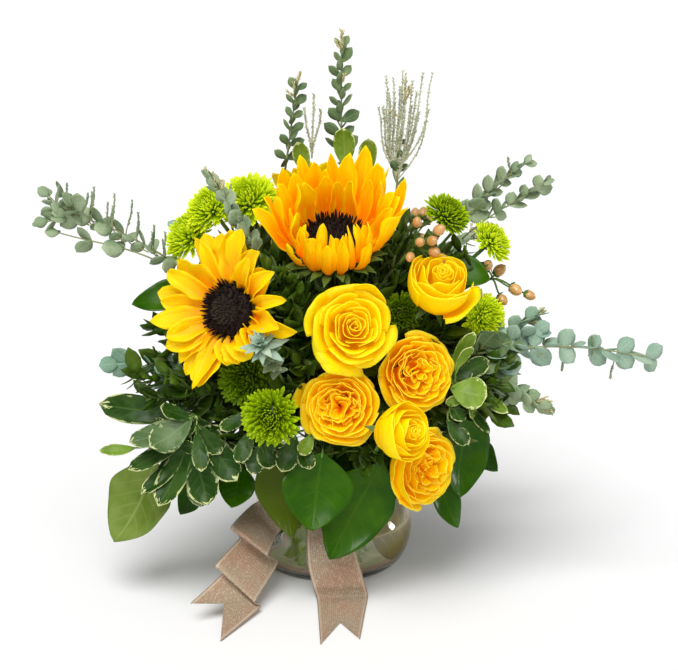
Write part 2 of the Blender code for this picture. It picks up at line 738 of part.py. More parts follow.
def build_variegated(name, foot, middle, turn, rise, length, count):
    """Rosette of blunt leaves round the end of one stem."""
    random.seed(SEED + len(name))
    foot, middle = Vector(foot), Vector(middle)
    way = heading(turn, rise)
    frame = basis(way)
    pieces = [tapered([foot + (middle - foot).normalized() * GAP, middle], TWIG_RADIUS, 1.3)]
    leaves = []
    for index in range(count):
        angle = index * math.radians(137.5)
        share = (index + 0.5) / count
        side = frame.col[0] * math.cos(angle) + frame.col[1] * math.sin(angle)
        lean = math.radians(35 + 60 * share)
        ray = side * math.sin(lean) + way * math.cos(lean)
        face = way * math.sin(lean) - side * math.cos(lean)
        spot = middle - (middle - foot) * (0.3 * share)
        size = length * random.uniform(0.85, 1.1) * (0.75 + 0.3 * share)
        leaves.append(blade(spot, spot + ray * size, face, size * 0.46, THIN, 2, 0.6, 0.1, 0.06))
    finish(name, fuse(pieces + keep_clear_ones(leaves)), "variegated_leaf")


def build_fern(name, foot, reach, turns, rises):
    """Fronds of small leaves that fill the space between the flowers."""
    random.seed(SEED + len(name))
    foot = Vector(foot)
    way = outward(foot)
    hub = foot + way * 8
    pieces = [tapered([foot + way * GAP, hub + way * 2], TWIG_RADIUS, TWIG_RADIUS)]
    for rise in rises:
        for turn in turns:
            ray = heading(turn + random.uniform(-8, 8), rise)
            points = bent(hub, way, hub + ray * reach * 0.7, ray, 3)
            while len(points) > 2 and not is_clear(tapered(points, 1.1, 0.7)):
                points.pop()
            rib = tapered(points, 1.1, 0.7)
            if not is_clear(rib):
                continue
            pieces.append(rib)
            frame = basis(ray)
            leaves = []
            for index in range(FERN_LEAVES):
                share = 0.3 + 0.7 * index / (FERN_LEAVES - 1)
                last = len(points) - 1
                step = min(last - 1, int(share * last))
                spot = points[step].lerp(points[step + 1], share * last - step)
                angle = index * math.radians(137.5)
                side = frame.col[0] * math.cos(angle) + frame.col[1] * math.sin(angle)
                grow = (side + ray * 0.5).normalized()
                face = ray - side * 0.5
                leaves.append(blade(spot, spot + grow * 30, face, 12, THIN, 1))
            pieces += keep_clear_ones(leaves)
    finish(name, fuse(pieces), "fern_leaf")


clear_scene()
arrangement = bpy.data.collections.new("flower_arrangement")
bpy.context.scene.collection.children.link(arrangement)
build_bowl()
build_band()
build_tail("ribbon_tail_left", LEFT_TAIL, LEFT_NOTCH)
build_tail("ribbon_tail_right", RIGHT_TAIL, RIGHT_NOTCH)
build_stems()
for label, values in ROSES.items():
    build_rose(label, *values)
for label, values in MUMS.items():
    build_mum(label, *values)
build_eucalyptus("eucalyptus_tuft", *TUFT)
for label, values in SUNFLOWERS.items():
    build_sunflower(label, *values)
for label, values in BROAD_LEAVES.items():
    build_broad(label, *values)
for label, values in VARIEGATED.items():
    build_variegated(label, *values)
for label, values in BERRIES.items():
    build_berries(label, *values)
for label, values in EUCALYPTUS.items():
    build_eucalyptus(label, *values)
for label, values in FERNS.items():
    build_fern(label, *values)
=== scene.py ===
"""Looks of a sunflower and rose arrangement in a squat glass bowl.

Lengths are written in millimetres, as in the solids, and every finished mesh is scaled to
metres. The origin is the middle of the bowl's underside, +Z is up and the front faces -Y.
A direction is given by its turn (degrees from the front towards +X) and its rise.
"""
import math

import bmesh
import bpy
import numpy as np
from mathutils import Matrix, Vector


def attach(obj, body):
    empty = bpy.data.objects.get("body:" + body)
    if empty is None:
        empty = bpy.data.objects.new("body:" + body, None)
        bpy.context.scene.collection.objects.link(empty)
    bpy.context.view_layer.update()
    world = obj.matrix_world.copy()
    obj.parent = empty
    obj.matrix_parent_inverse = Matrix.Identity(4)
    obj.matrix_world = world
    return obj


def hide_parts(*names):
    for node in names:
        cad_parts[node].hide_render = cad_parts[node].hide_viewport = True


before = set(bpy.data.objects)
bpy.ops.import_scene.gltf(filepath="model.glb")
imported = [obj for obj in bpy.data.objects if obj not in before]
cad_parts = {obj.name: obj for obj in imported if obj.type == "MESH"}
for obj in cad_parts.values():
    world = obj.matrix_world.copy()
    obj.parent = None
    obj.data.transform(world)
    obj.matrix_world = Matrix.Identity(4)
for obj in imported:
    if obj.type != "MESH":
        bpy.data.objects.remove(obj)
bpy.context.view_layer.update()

METRES = 0.001
TURN = 2 * math.pi
GOLDEN = math.radians(137.508)
UP = Vector((0, 0, 1))

# ---- places of the pieces

# Glass bowl: a flat foot, a round belly, a drawn-in neck and a flared rim.
FOOT_RADIUS = 56
BELLY_RADIUS = 75
BELLY_HEIGHT = 38
NECK_RADIUS = 47
NECK_HEIGHT = 96
RIM_RADIUS = 51
RIM_HEIGHT = 105
WALL = 3.5
FLOOR = 6
WATER_HEIGHT = 86
BOWL_STEPS = 96
CURVE_STEPS = 14

# Ribbon: a band with a knot round the neck, and two tails that lie on the table.
BAND_INNER = ((50.7, 87), (47.45, 96), (49.05, 99))   # radius and height
BAND_THICK = 1.2
KNOT = (0, -56, 93)
KNOT_SIZE = (10, 7, 7)
TAIL_THICK = 0.55
TAIL_STEPS = 7
TAIL_COLUMNS = 25
TAIL_EASE = 0.55
WARP_THREADS = 24
WEFT_THREADS = 165
# Each row is the left and the right edge of the tail at one fold.
LEFT_TAIL = (
    ((-10.3, -55, 98), (-10.5, -57, 88)),
    ((-40, -62, 88), (-30, -66, 70)),
    ((-69, -52, 71), (-46, -66, 50)),
    ((-86, -88, 64), (-54, -104, 44)),
    ((-79, -81, 51), (-46, -80, 27)),
    ((-98, -118, 41), (-64, -128, 12)),
    ((-92, -112, 31), (-60, -125, 5)),
    ((-117, -148, 19), (-90, -182, 0.9)),
)
LEFT_NOTCH = (-90, -137, 14)
RIGHT_TAIL = (
    ((-8, -61.2, 87.8), (8, -61.2, 87.8)),
    ((-17, -74, 70), (12, -76, 70)),
    ((-20, -84, 52), (19, -84, 52)),
    ((-19, -90, 30), (26, -88, 28)),
    ((-14, -92, 8), (31, -87, 8)),
    ((-11, -98, 0.9), (33, -93, 0.9)),
    ((-9, -140, 0.9), (29, -136, 0.9)),
    ((-7, -188, 0.9), (25, -178, 0.9)),
)
RIGHT_NOTCH = (9, -146, 0.9)

# Sunflowers: centre, turn, rise, disc radius and petal length.
SUNFLOWERS = {
    "sunflower_top": ((8, -60, 322), 0, 55, 26, 60),
    "sunflower_left": ((-83, -103, 263), -30, 14, 24, 46),
    "sunflower_back": ((-12, 92, 288), 172, 28, 25, 50),
}
# The top sunflower's cup of petals starts a little lower than its head.
CUP_CENTRE = (3, -60, 313)
DISC_HEIGHT = 9

# Roses: centre, turn, rise and radius.
ROSES = {
    "upper": ((20, -118, 252), 6, 22, 36),
    "side": ((92, -84, 279), 12, 42, 28),
    "middle": ((75, -103, 209), 20, 15, 33),
    "lower_left": ((9, -122, 184), -6, 12, 33),
    "bud": ((60, -153, 173), 25, 10, 25),
    "low": ((82, -114, 128), 30, -6, 33),
    "back_right": ((72, 96, 232), 140, 20, 33),
    "back_left": ((-88, 88, 200), 218, 16, 33),
}

# Button chrysanthemums: centre, turn, rise and radius.
MUMS = {
    "top": ((-72, -4, 336), -20, 48, 21),
    "top_left": ((-102, -32, 335), -45, 45, 18),
    "left": ((-122, -6, 306), -60, 40, 20),
    "right_top": ((101, -28, 329), 40, 50, 19),
    "right_far": ((141, -18, 303), 55, 40, 18),
    "right_low": ((133, -42, 241), 35, 15, 20),
    "deep": ((62, -55, 248), 15, 10, 17),
    "front_deep": ((-70, -98, 201), -15, 8, 22),
    "front": ((-48, -138, 181), -10, 6, 22),
    "back": ((-30, 118, 216), 190, 14, 22),
}

# Berry clusters: where the stalk enters, and the middle and radius of the cluster.
BERRIES = {
    "berries_right": ((66, -52, 300), (78, -70, 316), 20),
    "berries_far_right": ((136, -8, 266), (152, -22, 274), 20),
    "berries_back": ((72, 70, 282), (84, 92, 292), 20),
}
BERRY_RADIUS = 5.2

# Eucalyptus sprays: foot, tip, leaf colour, leaf pairs, leaf length at foot and tip, lean
# at foot and tip, twist of the leaves, and how much of the tip is bare but for beige buds.
EUCALYPTUS = {
    "top": ((10, 18, 372), (10, 20, 487), "dark", 15, 17, 13, 1.0, 0.65, 1.0, 0.12),
    "top_left": ((-40, 18, 360), (-27, 20, 447), "dark", 12, 16, 12, 1.0, 0.7, 1.0, 0.12),
    "top_right": ((59, 18, 342), (67, 20, 446), "dark", 4, 13, 9, 0.9, 0.5, 0.8, 0.6),
    "far_left": ((-128, -30, 282), (-248, -10, 334), "grey", 12, 17, 16, 0.95, 0.7, 0.9, 0.0),
    "mid_left": ((-58, -84, 306), (-105, -80, 381), "grey", 12, 16, 12, 0.8, 0.3, 0.8, 0.12),
    "right_top": ((112, -6, 314), (175, 0, 374), "grey", 12, 18, 11, 0.9, 0.5, 0.8, 0.0),
    "right": ((128, -62, 214), (284, -62, 211), "pale", 12, 21, 18, 1.0, 0.8, 1.4, 0.0),
    "right_mid": ((136, -46, 214), (190, -38, 248), "blue", 7, 19, 14, 0.9, 0.5, 0.9, 0.12),
    "right_low": ((136, -66, 186), (196, -72, 163), "grey", 9, 19, 12, 0.9, 0.5, 0.9, 0.12),
    "low_left": ((-120, -72, 192), (-190, -80, 213), "blue", 7, 19, 17, 0.8, 0.6, 0.9, 0.0),
    "back_left": ((-92, 58, 262), (-150, 132, 292), "blue", 11, 19, 13, 0.9, 0.5, 0.8, 0.0),
    "back_right": ((92, 56, 256), (150, 132, 286), "grey", 11, 19, 13, 0.9, 0.5, 0.8, 0.12),
    "back_low": ((110, 66, 176), (196, 118, 168), "pale", 10, 20, 15, 1.0, 0.7, 0.9, 0.0),
}
# Foot and tip of the stalk that carries the pale whorl.
TUFT = ((-42, -116, 212), (-51, -150, 246))

# Broad leaves: the spray's foot, then foot, tip, width and turn of each leaf's face.
BROAD_LEAVES = {
    "broad_left_top": ((-96, -34, 248), (((-118, -32, 268), (-172, -42, 253), 28, -20),)),
    "broad_right_top": ((88, -16, 282), (
        ((100, -34, 292), (138, -48, 276), 28, 20),
        ((96, -30, 268), (108, -52, 258), 24, 10),
    )),
    "broad_left_low": ((-92, -52, 122), (
        ((-154, -66, 120), (-188, -92, 52), 64, -28),
        ((-78, -88, 122), (-84, -108, 90), 32, -15),
        ((-118, -40, 104), (-134, -52, 62), 40, -50),
    )),
    "broad_front": ((-6, -78, 126), (
        ((-56, -108, 136), (-32, -116, 66), 38, -20),
        ((-6, -122, 144), (-15, -134, 79), 60, 5),
        ((46, -112, 132), (0, -122, 48), 58, 12),
    )),
    "broad_right_low": ((86, -46, 122), (
        ((126, -62, 160), (114, -78, 88), 54, 34),
        ((96, -74, 108), (112, -84, 62), 26, 20),
        ((120, -30, 132), (150, -38, 98), 40, 50),
    )),
    "broad_back": ((0, 66, 128), (
        ((-58, 94, 152), (-84, 126, 84), 56, 206),
        ((4, 110, 152), (10, 138, 80), 60, 180),
        ((70, 88, 146), (104, 112, 80), 56, 145),
    )),
}
# Turns at which further broad leaves hang over the rim.
RIM_LEAVES = {
    "broad_front": (-62, -34, -12, 16, 38, 60), "broad_left_low": (-100, -76),
    "broad_right_low": (78, 100), "broad_back": (124, 148, 170, 194, 218, 240),
}

# Variegated sprays: foot, middle of the rosette, turn, rise, leaf length, leaves.
VARIEGATED = {
    "left": ((-98, -74, 140), (-131, -100, 146), -30, 10, 62, 12),
    "front_left": ((-44, -92, 148), (-52, -118, 152), -15, 5, 30, 6),
    "right": ((108, -74, 178), (120, -92, 186), 35, 10, 34, 6),
    "top": ((16, -14, 352), (20, -10, 366), 0, 80, 34, 6),
    "back": ((-10, 104, 156), (-14, 128, 168), 180, 20, 42, 8),
}

# Leaves of the variegated sprays that are placed one by one: foot, tip, width, turn and
# look (0 dark, 1 light, 2 the pale underside).
EDGED_LEAVES = {
    "left": (
        ((-118, -98, 172), (-196, -95, 179), 25, -25, 0), ((-118, -104, 170), (-169, -115, 151), 22, -30, 2),
        ((-116, -110, 172), (-150, -128, 152), 27, -25, 2),
        ((-116, -110, 170), (-141, -120, 184), 13, -10, 0),
        ((-166, -100, 141), (-197, -98, 138), 11, -30, 1), ((-118, -106, 160), (-171, -112, 126), 20, -30, 0),
        ((-118, -104, 158), (-160, -118, 106), 19, -40, 0), ((-118, -112, 160), (-145, -126, 98), 28, -22, 0),
        ((-112, -118, 162), (-107, -134, 132), 14, -10, 0), ((-114, -120, 142), (-103, -126, 99), 28, -8, 0),
        ((-110, -112, 164), (-78, -118, 118), 27, 5, 0), ((-112, -106, 126), (-110, -112, 92), 23, -12, 2),
        ((-112, -100, 168), (-92, -112, 140), 22, 10, 0), ((-120, -84, 168), (-150, -66, 132), 26, -70, 0),
    ),
    "front_left": (
        ((-68, -112, 178), (-91, -124, 165), 14, -15, 0), ((-66, -114, 162), (-78, -126, 137), 15, -15, 0),
        ((-56, -116, 155), (-50, -128, 132), 18, -5, 0), ((-28, -120, 158), (-40, -132, 131), 19, 0, 0),
        ((-24, -122, 152), (-16, -134, 134), 15, 8, 0), ((-58, -118, 150), (-66, -124, 126), 17, -10, 0),
        ((-14, -118, 160), (-24, -132, 146), 13, 0, 1),
    ),
    "right": (
        ((103, -94, 193), (133, -102, 188), 28, 12, 1), ((103, -88, 204), (122, -92, 241), 13, 20, 1),
        ((107, -92, 206), (120, -98, 230), 11, 40, 1), ((100, -98, 166), (118, -108, 147), 15, 20, 0),
        ((104, -92, 180), (112, -104, 166), 14, 15, 0), ((118, -86, 182), (137, -92, 151), 11, 30, 0),
        ((128, -80, 186), (153, -86, 168), 15, 35, 1), ((106, -84, 198), (136, -84, 214), 17, 30, 0),
    ),
    "top": (
        ((-20, -12, 362), (-28, -12, 390), 15, 0, 1), ((14, -10, 366), (12, -10, 402), 19, 0, 1),
        ((32, -12, 358), (34, -12, 393), 16, 8, 1),
    ),
}

# Ends of further twigs at the sides, beyond the flowers.
TWIG_ENDS = (
    (-158, -86, 200), (-150, -92, 188), (-132, -100, 205), (-144, -80, 214), (-118, -108, 192),
    (-104, -112, 204), (-96, -110, 186), (-160, -60, 180), (-128, -70, 226), (-150, -40, 232),
    (148, -60, 232), (150, -70, 204), (140, -82, 190), (146, -66, 176), (128, -90, 176),
    (118, -98, 212), (124, -84, 232), (112, -92, 150), (140, -50, 252), (132, -74, 160),
    (-50, -106, 156), (34, -108, 140), (60, -104, 134), (22, -116, 148), (44, -116, 146),
    (-72, -100, 150), (-92, -88, 168),
    (-102, -84, 160), (-84, -90, 160), (-76, -88, 170), (84, -98, 144), (-62, -26, 322),
    (-44, -28, 312), (-36, -40, 300), (-84, -28, 312), (-58, -50, 296), (50, -30, 322),
    (64, -40, 312), (58, -56, 296), (78, -30, 312), (112, -24, 300), (120, -30, 282),
    (-46, -94, 290), (-38, -92, 280), (-32, -88, 296), (-54, -96, 278), (-34, -112, 198),
    (-26, -114, 208), (-44, -106, 190), (-22, -110, 222), (-36, -104, 262), (-30, -100, 246),
)
# Sprigs that branch off a eucalyptus spray: foot, tip, leaf pairs and leaf length.
SIDE_SPRIGS = {
    "far_left": (
        ((-222, -14, 322), (-246, -8, 342), 3, 17), ((-222, -14, 322), (-232, -20, 344), 3, 16),
        ((-222, -14, 322), (-246, -20, 322), 3, 18), ((-150, -28, 288), (-236, -22, 312), 3, 17),
        ((-210, -18, 318), (-222, -26, 336), 3, 16),
    ),
    "right_top": (((116, -10, 304), (186, -4, 352), 9, 15),),
    "right": (((128, -60, 220), (176, -58, 232), 4, 19),),
}
# Large grey-green leaves at the foot of the right eucalyptus: tip and width.
LARGE_GUM = (
    ((142, -80, 238), 24), ((156, -76, 229), 24), ((162, -74, 212), 22), ((128, -82, 236), 20),
    ((154, -72, 196), 20), ((142, -84, 204), 22), ((168, -66, 222), 20),
)


# ---- directions and meshes

def heading(turn, rise):
    """Unit vector of a turn from the front and a rise above the horizontal."""
    turn, rise = math.radians(turn), math.radians(rise)
    return Vector((math.sin(turn) * math.cos(rise), -math.cos(turn) * math.cos(rise), math.sin(rise)))


def unit(way):
    """Vector of length 1 along a way."""
    return way / np.linalg.norm(way)


def line(foot, tip):
    """Foot and tip as arrays, and the unit vector from one to the other."""
    foot, tip = np.array(foot, float), np.array(tip, float)
    return foot, tip, unit(tip - foot)


def basis(axis):
    """Rotation whose Z column is the axis and whose Y column leans upwards."""
    z = Vector(axis).normalized()
    x = UP.cross(z)
    if x.length < 1e-3:
        x = Vector((1, 0, 0))
    x.normalize()
    return Matrix((x, z.cross(x), z)).transposed()


def seated(points, centre, axis):
    """Points modelled on +Z at the origin, moved to their centre and axis."""
    return points @ np.array(basis(axis)).T + np.array(centre, float)


def bent(start, start_way, end, end_way, steps, pull=0.4):
    """Points of a smooth bend that leaves and arrives along the two given ways."""
    start, end = np.array(start, float), np.array(end, float)
    reach = np.linalg.norm(end - start) * pull
    first = start + np.array(start_way) * reach
    second = end - np.array(end_way) * reach
    t = np.linspace(0, 1, steps + 1)[:, None]
    return (start * (1 - t) ** 3 + first * (3 * t * (1 - t) ** 2)
        + second * (3 * t * t * (1 - t)) + end * t ** 3)


class Heap:
    """Points, faces, texture places, tones and materials gathered for one mesh."""

    def __init__(self):
        self.points, self.faces, self.places, self.tones, self.slots = [], [], [], [], []
        self.count = 0

    def add(self, points, faces, places, tones, slot=0):
        """Add a body; tones is one number or one for each point."""
        points = np.asarray(points, float).reshape(-1, 3)
        self.points.append(points)
        self.faces += (np.asarray(faces) + self.count).tolist()
        self.places.append(np.asarray(places, float).reshape(-1, 2))
        self.tones.append(np.broadcast_to(tones, len(points)).astype(float))
        self.slots += [slot] * len(faces)
        self.count += len(points)

    def mesh(self, *materials):
        """Smooth mesh in metres, with its texture places and its tones."""
        mesh = bpy.data.meshes.new("mesh")
        points = np.concatenate(self.points) * METRES
        mesh.from_pydata(points.tolist(), [], self.faces)
        corners = np.empty(len(mesh.loops), int)
        mesh.loops.foreach_get("vertex_index", corners)
        layer = mesh.uv_layers.new(name="UVMap")
        layer.data.foreach_set("uv", np.concatenate(self.places)[corners].ravel())
        tone = mesh.attributes.new("tone", "FLOAT", "POINT")
        tone.data.foreach_set("value", np.concatenate(self.tones))
        for material in materials:
            mesh.materials.append(material)
        mesh.polygons.foreach_set("material_index", self.slots)
        mesh.shade_smooth()
        return mesh


def sheet(grid, thickness):
    """Closed thin body round a grid of points: points, faces and texture places."""
    rows, columns = grid.shape[:2]
    normal = np.cross(np.gradient(grid, axis=1), np.gradient(grid, axis=0))
    normal /= np.linalg.norm(normal, axis=-1, keepdims=True) + 1e-9
    half = normal * np.broadcast_to(thickness, (rows, columns))[..., None] / 2
    total = rows * columns
    index = np.arange(total).reshape(rows, columns)
    upper = np.stack([index[:-1, :-1], index[:-1, 1:], index[1:, 1:], index[1:, :-1]], -1)
    upper = upper.reshape(-1, 4)
    border = np.concatenate([index[0, :-1], index[:-1, -1], index[-1, :0:-1], index[:0:-1, 0]])
    following = np.roll(border, -1)
    rim = np.stack([following, border, border + total, following + total], -1)
    faces = np.concatenate([upper, upper[:, ::-1] + total, rim])
    points = np.concatenate([(grid + half).reshape(-1, 3), (grid - half).reshape(-1, 3)])
    across, along = np.meshgrid(np.linspace(0, 1, columns), np.linspace(0, 1, rows))
    places = np.tile(np.stack([across, along], -1).reshape(-1, 2), (2, 1))
    return points, faces, places


def add_tube(heap, path, radii, sides=8, tone=0.5, slot=0):
    """Add a tube along a path to a heap, its ends closed by fans of triangles.

    radii is one radius, or that of its foot and that of its tip.
    """
    path = np.asarray(path, float)
    rings = len(path)
    radii = np.broadcast_to(radii, 2)
    tangent = np.gradient(path, axis=0)
    tangent /= np.linalg.norm(tangent, axis=1, keepdims=True) + 1e-9
    side = np.cross(tangent[0], (0.31, 0.2, 0.93))
    turn = np.linspace(0, TURN, sides, endpoint=False)[:, None]
    points = []
    for place, way, radius in zip(path, tangent, np.linspace(*radii, rings)):
        side = unit(side - way * side.dot(way))
        points.append(place + radius * (np.cos(turn) * side + np.sin(turn) * np.cross(way, side)))
    points = np.concatenate(points + [path[:1], path[-1:]])
    index = np.arange(rings * sides).reshape(rings, sides)
    after = np.roll(index, -1, axis=1)
    faces = np.stack([index[:-1], after[:-1], after[1:], index[1:]], -1).reshape(-1, 4)
    along = np.repeat(np.linspace(0, 1, rings), sides)
    across = np.tile(np.arange(sides) / sides, rings)
    places = np.concatenate([np.stack([across, along], -1), [[0.5, 0], [0.5, 1]]])
    foot, head = rings * sides, rings * sides + 1
    fans = [(foot, b, a) for a, b in zip(index[0], after[0])]
    fans += [(head, a, b) for a, b in zip(index[-1], after[-1])]
    first = heap.count
    heap.add(points, faces, places, tone, slot)
    heap.faces += (np.array(fans) + first).tolist()
    heap.slots += [slot] * len(fans)


def place_piece(mesh, name, slot, *nodes):
    """Put a finished mesh in the scene, riding on the only body."""
    mesh.name = name
    piece = bpy.data.objects.new(name, mesh)
    bpy.context.scene.collection.objects.link(piece)
    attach(piece, "root")
    if nodes:
        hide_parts(*nodes)
    return piece


# ---- node trees

def add(tree, kind, inputs=None, **settings):
    """Add a node; inputs links or fills its sockets, by name or by place."""
    item = tree.nodes.new(kind)
    for name, value in settings.items():
        setattr(item, name, value)
    for socket, value in (inputs or {}).items():
        if isinstance(value, bpy.types.NodeSocket):
            tree.links.new(value, item.inputs[socket])
        else:
            item.inputs[socket].default_value = value
    return item


def made(tree, kind, inputs=None, **settings):
    """First output of a new node."""
    return add(tree, kind, inputs, **settings).outputs[0]


def calc(tree, operation, first, second=0, third=0):
    """Result of one Math node."""
    return made(tree, "ShaderNodeMath", {0: first, 1: second, 2: third}, operation=operation)


def times(tree, first, second):
    """Product of two values."""
    return calc(tree, "MULTIPLY", first, second)


def spread(tree, value, low, high, start=0, end=1):
    """A value between start and end spread between low and high."""
    limits = {"Value": value, "From Min": start, "From Max": end, "To Min": low, "To Max": high}
    return made(tree, "ShaderNodeMapRange", limits)


def ramp(tree, factor, stops):
    """Colour ramp through (place, colour) stops."""
    item = add(tree, "ShaderNodeValToRGB", {"Fac": factor})
    elements = item.color_ramp.elements
    for index, (place, colour) in enumerate(stops):
        element = elements[index] if index < 2 else elements.new(place)
        element.position = place
        element.color = (*colour, 1)
    return item.outputs["Color"]


def mixed(tree, factor, first, second):
    """Mix of two colours."""
    item = add(tree, "ShaderNodeMix", {0: factor}, data_type="RGBA")
    for place, value in ((6, first), (7, second)):
        if isinstance(value, bpy.types.NodeSocket):
            tree.links.new(value, item.inputs[place])
        else:
            item.inputs[place].default_value = (*value, 1)
    return item.outputs[2]


def tinted(tree, base, mask, share, colour):
    """Base colour with a share of another where the mask is 1."""
    return mixed(tree, times(tree, mask, share), base, colour)


def give(tree, result, *values):
    """The tree of a node group, whose outputs are linked to the values."""
    for socket, value in zip(result.inputs, values):
        tree.links.new(value, socket)
    return tree


def new_tree(name, kind, inputs, outputs):
    """Node group with named inputs (name, type, value) and outputs (name, type)."""
    tree = bpy.data.node_groups.new(name, kind)
    for label, socket_type, value in inputs:
        socket = tree.interface.new_socket(label, in_out="INPUT", socket_type=socket_type)
        if value is not None:
            socket.default_value = value
    for label, socket_type in outputs:
        tree.interface.new_socket(label, in_out="OUTPUT", socket_type=socket_type)
    return tree, tree.nodes.new("NodeGroupInput").outputs, tree.nodes.new("NodeGroupOutput")


FLOAT = "NodeSocketFloat"
WHOLE = "NodeSocketInt"
SHAPE = "NodeSocketGeometry"
OBJECT = "NodeSocketObject"
FINISH = "NodeSocketMaterial"


def chance(tree, seed, spot, low=-1, high=1):
    """Random number of each element; spot sets apart the uses of one seed."""
    item = add(tree, "FunctionNodeRandomValue", {2: low, 3: high}, data_type="FLOAT")
    tree.links.new(calc(tree, "ADD", seed, spot), item.inputs[8])
    return item.outputs[1]


def turned_by(tree, rotation, axis, angle):
    """Rotation turned further about one of its own axes."""
    step = add(tree, "FunctionNodeAxisAngleToRotation", {"Axis": axis, "Angle": angle})
    return made(tree, "FunctionNodeRotateRotation", {
        "Rotation": rotation, "Rotate By": step.outputs[0]}, rotation_space="LOCAL")


def strayed(tree, given, spot, value=1):
    """A value that strays at random within the looseness given to a tree."""
    return calc(tree, "MULTIPLY_ADD", chance(tree, given["Seed"], spot), given["Looseness"], value)


def repeated(tree, points, source, rotation, size, tone, material):
    """Source object set on every point, made real, with its tone and material."""
    source = add(tree, "GeometryNodeObjectInfo", {"Object": source})
    shapes = made(tree, "GeometryNodeInstanceOnPoints", {
        "Points": points, "Instance": source.outputs["Geometry"],
        "Rotation": rotation, "Scale": size})
    shapes = made(tree, "GeometryNodeStoreNamedAttribute", {
        "Geometry": shapes, "Name": "tone", "Value": tone}, data_type="FLOAT", domain="INSTANCE")
    shapes = made(tree, "GeometryNodeRealizeInstances", {0: shapes})
    return made(tree, "GeometryNodeSetMaterial", {"Geometry": shapes, "Material": material})


def leafy_spray_tree():
    """Pairs of leaves set round each edge path, and its tapered stalk."""
    tree, given, result = new_tree("leafy spray", "GeometryNodeTree", (
        ("Geometry", SHAPE, None), ("Leaf", OBJECT, None), ("Joints", WHOLE, 6),
        ("Bare Foot", FLOAT, 0.1), ("Bare Tip", FLOAT, 0),
        ("Lean", FLOAT, 1), ("Tip Lean", FLOAT, 0.5), ("Turn", FLOAT, math.pi / 2),
        ("Twist", FLOAT, 0), ("Foot Size", FLOAT, 1), ("Tip Size", FLOAT, 0.5),
        ("Looseness", FLOAT, 0.2), ("Foot Radius", FLOAT, 0.0006), ("Tip Radius", FLOAT, 0.0005),
        ("Seed", WHOLE, 0), ("Leaf Finish", FINISH, None), ("Stalk Finish", FINISH, None),
    ), (("Geometry", SHAPE),))
    path = made(tree, "GeometryNodeMeshToCurve", {0: given["Geometry"]})
    along = add(tree, "GeometryNodeSplineParameter").outputs["Factor"]
    girth = spread(tree, along, given["Foot Radius"], given["Tip Radius"])
    ring = add(tree, "GeometryNodeCurvePrimitiveCircle", {"Resolution": 5, "Radius": 1})
    stalk = made(tree, "GeometryNodeCurveToMesh", {
        "Curve": path, "Profile Curve": ring.outputs["Curve"], "Scale": girth, "Fill Caps": True})
    stalk = made(tree, "GeometryNodeSetMaterial", {
        "Geometry": stalk, "Material": given["Stalk Finish"]})

    tip = calc(tree, "SUBTRACT", 1, given["Bare Tip"])
    leafy = made(tree, "GeometryNodeTrimCurve", {
        "Curve": path, "Start": given["Bare Foot"], "End": tip}, mode="FACTOR")
    noted = tree.nodes.new("GeometryNodeCaptureAttribute")
    noted.capture_items.new("FLOAT", "Place")
    tree.links.new(leafy, noted.inputs[0])
    tree.links.new(along, noted.inputs[1])
    joints = add(tree, "GeometryNodeCurveToPoints", {
        "Curve": noted.outputs[0], "Count": given["Joints"]}, mode="COUNT")
    twins = add(tree, "GeometryNodeDuplicateElements", {
        "Geometry": joints.outputs["Points"], "Amount": 2}, domain="POINT")

    place = noted.outputs[1]
    gaps = calc(tree, "MAXIMUM", calc(tree, "SUBTRACT", given["Joints"], 1), 1)
    number = calc(tree, "ROUND", times(tree, place, gaps))
    angle = times(tree, number, given["Turn"])
    angle = calc(tree, "MULTIPLY_ADD", twins.outputs["Duplicate Index"], math.pi, angle)
    seed, wide = given["Seed"], times(tree, given["Looseness"], 2)
    angle = calc(tree, "MULTIPLY_ADD", chance(tree, seed, 1), wide, angle)
    lean = strayed(tree, given, 2, spread(tree, place, given["Lean"], given["Tip Lean"]))
    size = spread(tree, place, given["Foot Size"], given["Tip Size"])
    size = times(tree, size, strayed(tree, given, 3))
    twist = calc(tree, "ADD", times(tree, chance(tree, seed, 4), wide), given["Twist"])
    rotation = made(tree, "FunctionNodeAxesToRotation", {
        0: joints.outputs["Tangent"], 1: joints.outputs["Normal"]},
        primary_axis="Z", secondary_axis="X")
    for axis, turn in (((0, 0, 1), angle), ((0, 1, 0), lean), ((0, 0, 1), twist)):
        rotation = turned_by(tree, rotation, axis, turn)
    leaves = repeated(tree, twins.outputs["Geometry"], given["Leaf"], rotation, size,
        chance(tree, seed, 9, 0, 1), given["Leaf Finish"])
    both = tree.nodes.new("GeometryNodeJoinGeometry")
    tree.links.new(stalk, both.inputs[0])
    tree.links.new(leaves, both.inputs[0])
    return give(tree, result, both.outputs[0])


